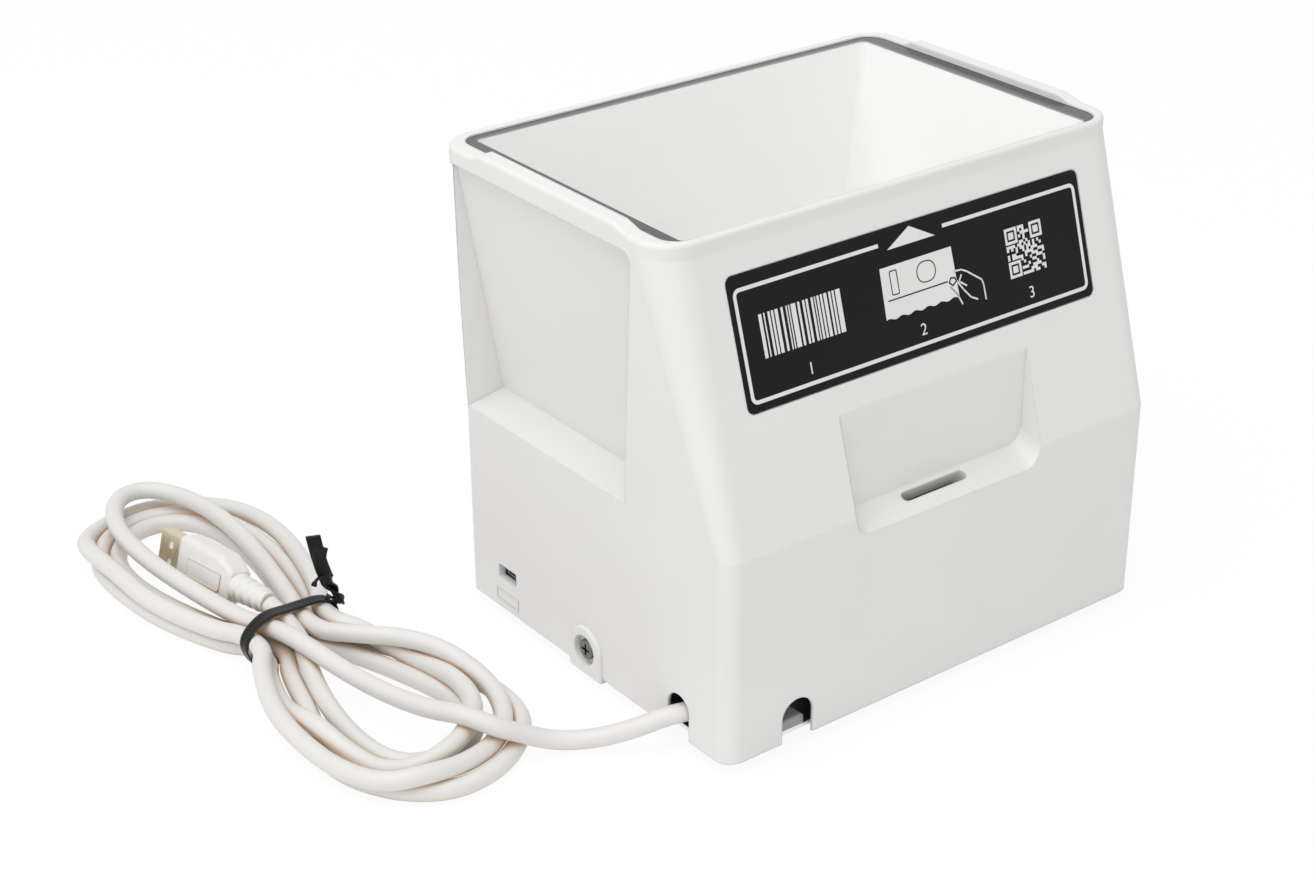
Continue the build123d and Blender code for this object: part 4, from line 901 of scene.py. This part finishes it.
# %% Second sign: a booklet under a hand
PAGE_WIDTH, PAGE_HEIGHT, PAGE_MIDDLE = 24.4, 13.3, (0.1, 52.75)
WAVE_HEIGHT, WAVE_PACE, WAVE_START = 0.28, 1.45, -12.3
FOOT_SPREAD = 1.03
booklet = bmesh.new()
page = bmesh.ops.create_grid(booklet, x_segments=40, y_segments=1, size=0.5)["verts"]
bmesh.ops.scale(booklet, verts=page, vec=(PAGE_WIDTH, PAGE_HEIGHT, 1))
bmesh.ops.translate(booklet, verts=page, vec=(*PAGE_MIDDLE, INK_TOP))
for vert in page:
    if vert.co.y < PAGE_MIDDLE[1]:
        vert.co.y += WAVE_HEIGHT * math.sin((vert.co.x - WAVE_START) * WAVE_PACE)
        vert.co.x *= FOOT_SPREAD
thicken(booklet, -INK)
hand_lines = (
    [(12.0, 52.9), (14.6, 52.7), (16.4, 51.8), (21.0, 48.5), (21.4, 47.1), (21.5, 43.2)],
    [(12.5, 50.3), (14.4, 47.5), (16.5, 45.0), (18.6, 43.9)],
    [(10.2, 49.2), (12.1, 46.8), (13.3, 44.0)],
    [(14.3, 51.4), (13.3, 49.9), (15.6, 48.3)],
)
for line in hand_lines:
    stroke(booklet, line, 0.45)
printed("label_booklet", booklet)

# %% Dark lines on the booklet, and the nail of the thumb
LINE_TOP, NAIL_TOP = INK_TOP + 0.02, INK_TOP + 0.03
thumb_nail = [(9.9, 50.4), (10.7, 51.5), (12.0, 51.2), (12.4, 50.3), (11.0, 49.4), (9.9, 50.4)]
print_lines = bmesh.new()
stroke(print_lines, [(-10.8, 50.8), (9.4, 50.8)], 0.35, INK_TOP, LINE_TOP)
ring_plate(print_lines, 2.9, 55.2, 6.6, 5.6, 2.7, 0.3, INK_TOP, LINE_TOP)
ring_plate(print_lines, -8.0, 55.0, 2.6, 6.4, 0.4, 0.3, INK_TOP, LINE_TOP)
stroke(print_lines, thumb_nail, 0.4, INK_TOP, NAIL_TOP)
printed("label_page_lines", print_lines, film)

# %% Third sign: squares set by chance between three corner marks
CELLS = 17
CELL = 13.1 / CELLS
CELLS_LEFT, CELLS_FOOT = 31.1, 46.0
MARK_CELLS, MARK_SIDE, MARK_LINE, DOT_HALF = 6, 4.3, 0.75, 0.9
cells = bmesh.new()
for column in range(CELLS):
    for row in range(CELLS):
        at_left, at_right = column < MARK_CELLS, column >= CELLS - MARK_CELLS
        at_foot, at_top = row < MARK_CELLS, row >= CELLS - MARK_CELLS
        corner_mark = (at_left or at_right) and at_top or at_left and at_foot
        if not corner_mark and random.random() < 0.5:
            left, foot = CELLS_LEFT + column * CELL, CELLS_FOOT + row * CELL
            slab(cells, left, left + CELL, foot, foot + CELL)
for x, y in ((33.2, 48.1), (33.2, 57.0), (42.1, 57.0)):
    ring_plate(cells, x, y, MARK_SIDE, MARK_SIDE, 0.0, MARK_LINE)
    slab(cells, x - DOT_HALF, x + DOT_HALF, y - DOT_HALF, y + DOT_HALF)
printed("label_squares", cells)

# %% The numbers under the signs
NUMBERS_FOOT, NUMBERS_SIZE = 39.5, 4.4
numbers = bmesh.new()
for digit, x in (("1", -38.4), ("2", -0.8), ("3", 37.7)):
    text = bpy.data.curves.new("digit", "FONT")
    text.body = digit
    text.size = NUMBERS_SIZE
    text.extrude = INK / 2
    text.align_x = "CENTER"
    flat = mesh_of(text)
    flat.transform(Matrix.Translation((x, NUMBERS_FOOT, FILM_TOP + INK / 2)))
    numbers.from_mesh(flat)
    bpy.data.meshes.remove(flat)
printed("label_numbers", numbers)

# %% [markdown]
# Long bands and tapering grips are one outline carried along a line. The outline starts as a
# circle or a rounded rectangle, is extruded edge by edge from station to station, and each
# station's matrix says where it goes, how it turns and how large it is.

# %% Helper: an outline carried through stations
def carried(target, outline_verts, stations, closed=False, caps=True):
    """Extrudes a flat ring of vertices through a list of matrices."""
    ring = {edge for vert in outline_verts for edge in vert.link_edges}
    first = list(ring)
    verts = list(outline_verts)
    bmesh.ops.transform(target, matrix=stations[0], verts=verts)
    before = stations[0]
    current = first
    for matrix in stations[1:]:
        made = bmesh.ops.extrude_edge_only(target, edges=current)["geom"]
        verts = verts_in(made)
        current = [item for item in made if isinstance(item, bmesh.types.BMEdge)
                   and item.verts[0] in verts and item.verts[1] in verts]
        bmesh.ops.transform(target, matrix=matrix @ before.inverted(), verts=verts)
        before = matrix
    if closed:
        bmesh.ops.bridge_loops(target, edges=first + current)
    elif caps:
        bmesh.ops.contextual_create(target, geom=first)
        bmesh.ops.contextual_create(target, geom=current)
    bmesh.ops.recalc_face_normals(target, faces=target.faces[:])


def standing(place, along, wide, scale_wide=1.0, scale_thick=1.0):
    """A matrix whose X is the outline's width, Y its thickness and Z the way it goes."""
    z = Vector(along).normalized()
    x = (Vector(wide) - z * Vector(wide).dot(z)).normalized()
    return axes_at(place, x * scale_wide, z.cross(x) * scale_thick, z)


def line_points(places, cyclic=False, steps=8):
    """Points along a smooth curve that is pulled by a few places."""
    data = bpy.data.curves.new("guide", "CURVE")
    data.dimensions = "3D"
    guide = data.splines.new("NURBS")
    guide.points.add(len(places) - 1)
    for point, place in zip(guide.points, places):
        point.co = (*place, 1.0)
    guide.order_u = 3
    guide.use_cyclic_u = cyclic
    guide.use_endpoint_u = not cyclic
    guide.resolution_u = steps
    mesh = mesh_of(data)
    found = [vert.co.copy() for vert in mesh.vertices]
    bpy.data.meshes.remove(mesh)
    bpy.data.curves.remove(data)
    return found


# %% [markdown]
# The tie is the kind that comes with cords: two thin wires in a glossy black strip. It goes
# once round the waist of the hank, its two ends are twisted together, and one flat end
# stands up. The strip's outline is thick at both edges, where the wires run.

# %% The strip's outline and finish
STRIP_HALF_THICK = 0.36


def strip_outline(target, half_width):
    """A flat oval with a hollow middle, as a strip over two wires has."""
    made = bmesh.ops.create_circle(target, cap_ends=False, segments=20,
                                   radius=half_width)["verts"]
    for vert in made:
        edge_share = abs(vert.co.x) / half_width
        vert.co.y *= STRIP_HALF_THICK / half_width * (0.55 + 0.75 * edge_share)
    return made


tie_black = moulded("tie_black", (0.008, 0.008, 0.009), (0.013, 0.013, 0.014),
                    (0.03, 0.03, 0.03), 0.27, scale=700.0, bump=0.35, radius=0.0002,
                    Specular_IOR_Level=0.15)

# %% The band round the hank
band_path = [
    (-116.1, 61.8, 9.0), (-116.5, 62.8, 11.2), (-119.6, 63.8, 12.1), (-124.8, 64.0, 12.2),
    (-130.2, 63.4, 12.8), (-136.4, 62.2, 14.0), (-140.8, 61.0, 13.2), (-144.4, 60.2, 11.0),
    (-145.9, 59.8, 8.2), (-145.0, 59.5, 4.6), (-143.4, 59.5, 1.8), (-140.0, 59.5, 0.45),
    (-132.5, 59.6, 0.42), (-124.0, 59.8, 0.42), (-119.0, 60.0, 0.45), (-116.5, 60.2, 1.8),
    (-116.0, 60.4, 5.0),
]
points = line_points(band_path, cyclic=True)
around = []
for index, here in enumerate(points):
    ahead_point = points[(index + 1) % len(points)]
    around.append(standing(here, ahead_point - points[index - 1], (0, 1, 0)))
tie = bmesh.new()
carried(tie, strip_outline(tie, 2.2), around, closed=True)
print("band of", len(around), "stations")

# %% Its twisted ends and the flat end that stands up
# The way the flat ends spread, the strip's size in the twist, and what it gains after it.
FLAT_SIDE = Vector((0.797, -0.604, 0.0))
TWIST_SIZE, TWIST_GAIN = 0.55, 0.45


def twisted_end(target, places, turns_in_it, twist_share, half_width, offset):
    """A strip that twists, narrow, over the first share of its way and then lies flat."""
    points = line_points(places, steps=14)
    stations = []
    for index, here in enumerate(points):
        share = index / (len(points) - 1)
        along = points[min(index + 1, len(points) - 1)] - points[max(index - 1, 0)]
        angle = 2 * math.pi * turns_in_it * max(0.0, 1 - share / twist_share)
        z = along.normalized()
        to_side = (FLAT_SIDE - z * FLAT_SIDE.dot(z)).normalized()
        wide = Matrix.Rotation(angle, 3, z) @ to_side
        spread = min(1.0, max(0.0, (share / twist_share - 0.7) / 0.3))
        size = TWIST_SIZE + TWIST_GAIN * spread * spread * (3 - 2 * spread)
        apart = z.cross(wide) * offset
        stations.append(standing(here + apart, along, wide, size, 1.0 / size ** 0.5))
    carried(target, strip_outline(target, half_width), stations)


twisted_end(tie, [(-119.0, 63.6, 12.1), (-116.3, 61.8, 11.5), (-114.6, 60.0, 10.4),
                  (-115.4, 60.0, 13.4), (-117.6, 60.0, 16.8), (-119.2, 60.0, 20.4),
                  (-120.6, 60.0, 25.4), (-121.4, 60.2, 30.2), (-121.9, 60.4, 33.8)],
            1.3, 0.62, 2.1, 0.55)
twisted_end(tie, [(-118.0, 63.2, 12.0), (-115.8, 61.4, 10.9), (-114.9, 60.0, 11.6),
                  (-116.4, 60.0, 15.4), (-118.4, 60.0, 19.0), (-120.0, 60.0, 23.2),
                  (-120.6, 60.2, 27.4), (-119.4, 60.2, 30.2)],
            1.3, 0.70, 1.9, -0.55)
twisted_end(tie, [(-119.6, 59.6, 20.4), (-121.6, 59.0, 21.6), (-123.0, 58.8, 21.0),
                  (-123.6, 58.8, 19.6)], 0.4, 0.9, 0.8, 0.0)
tie_piece = finished("tie", tie, Matrix.Scale(MM, 4), tie_black, "base",
                     smooth=True)
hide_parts("twist_tie")

# %% [markdown]
# The plug's grip is a soft block with round edges that narrows to four ribs, and the cord
# goes into the last of them. The CAD model has the block and the ribs as plain solids. Here
# they are one piece, with shoulders and a raised border that is left bare.

# %% The block of the grip
GRIP_WIDTH, GRIP_THICK, GRIP_CORNER = 15.6, 8.2, 2.0
# Back from the foot, then the share of the width and of the thickness there.
GRIP_SHAPE = (
    (0.0, 0.90, 0.82), (0.35, 0.965, 0.94), (1.1, 1.0, 1.0), (8.0, 1.0, 1.0),
    (18.5, 0.985, 1.0), (20.2, 0.95, 0.99), (22.6, 0.80, 0.94), (24.6, 0.66, 0.88),
    (25.7, 0.56, 0.82), (26.0, 0.50, 0.76),
)


def on_plug(back, wide, thick):
    """A station across the plug, a distance back from its foot."""
    return standing(Vector(PLUG_FOOT) - plug_tip * back, -plug_tip, plug_wide, wide, thick)


block = rounded_sheet(GRIP_WIDTH, GRIP_THICK, GRIP_CORNER, 5)
bmesh.ops.delete(block, geom=block.faces[:], context="FACES_ONLY")
carried(block, block.verts[:], [on_plug(*row) for row in GRIP_SHAPE])
grip = bmesh.new()
pour(block, grip)
print("block of", len(GRIP_SHAPE), "stations")

# %% The ribs of its strain relief
RIBS, RIBS_START, RIB_PITCH, RIB_RADIUS, RIB_TAPER = 4, 25.6, 3.5, 4.05, 0.17
RIB_SHAPE = ((0.0, 0.80), (0.25, 0.94), (0.6, 1.0), (1.9, 1.0), (2.25, 0.94), (2.5, 0.80))
relief = bmesh.new()
ring = bmesh.ops.create_circle(relief, cap_ends=False, segments=28, radius=1.0)["verts"]
stations = []
for rib in range(RIBS):
    size = RIB_RADIUS - RIB_TAPER * rib
    for back, share in RIB_SHAPE:
        start = RIBS_START + rib * RIB_PITCH
        stations.append(on_plug(start + back, size * share, size * share))
stations += [on_plug(40.0, 3.1, 3.1), on_plug(41.0, 2.85, 2.85)]
carried(relief, ring, stations)
pour(relief, grip)
print("relief of", RIBS, "ribs")

# %% Its raised border, on both faces
BORDER_MIDDLE, BORDER_LENGTH, BORDER_WIDTH, BORDER_RISE = 13.7, 16.9, 5.8, 0.12
FACE = GRIP_THICK / 2
on_face = axes_at(PLUG_FOOT, -plug_tip, plug_wide, (-plug_tip).cross(plug_wide))
detail = bmesh.new()
for side in (FACE, -FACE):
    ring_plate(detail, BORDER_MIDDLE, 0.0, BORDER_LENGTH, BORDER_WIDTH, 1.2, 0.5,
               side - BORDER_RISE, side + BORDER_RISE)
bmesh.ops.transform(detail, matrix=on_face, verts=detail.verts)
pour(detail, grip)
grip_piece = finished("plug_grip", grip, Matrix.Scale(MM, 4), grip_white, "base",
                      smooth=True)
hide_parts("plug_overmould", "plug_relief")
soft = grip_piece.modifiers.new("soft", "WEIGHTED_NORMAL")
soft.keep_sharp = True

# %% [markdown]
# The photograph shows both ends of the cord, and only what lies inside the cover or under
# other strands is a guess.

# %% [markdown]
# Last, the view layer is brought up to date.

# %% Bring the scene up to date
bpy.context.view_layer.update()
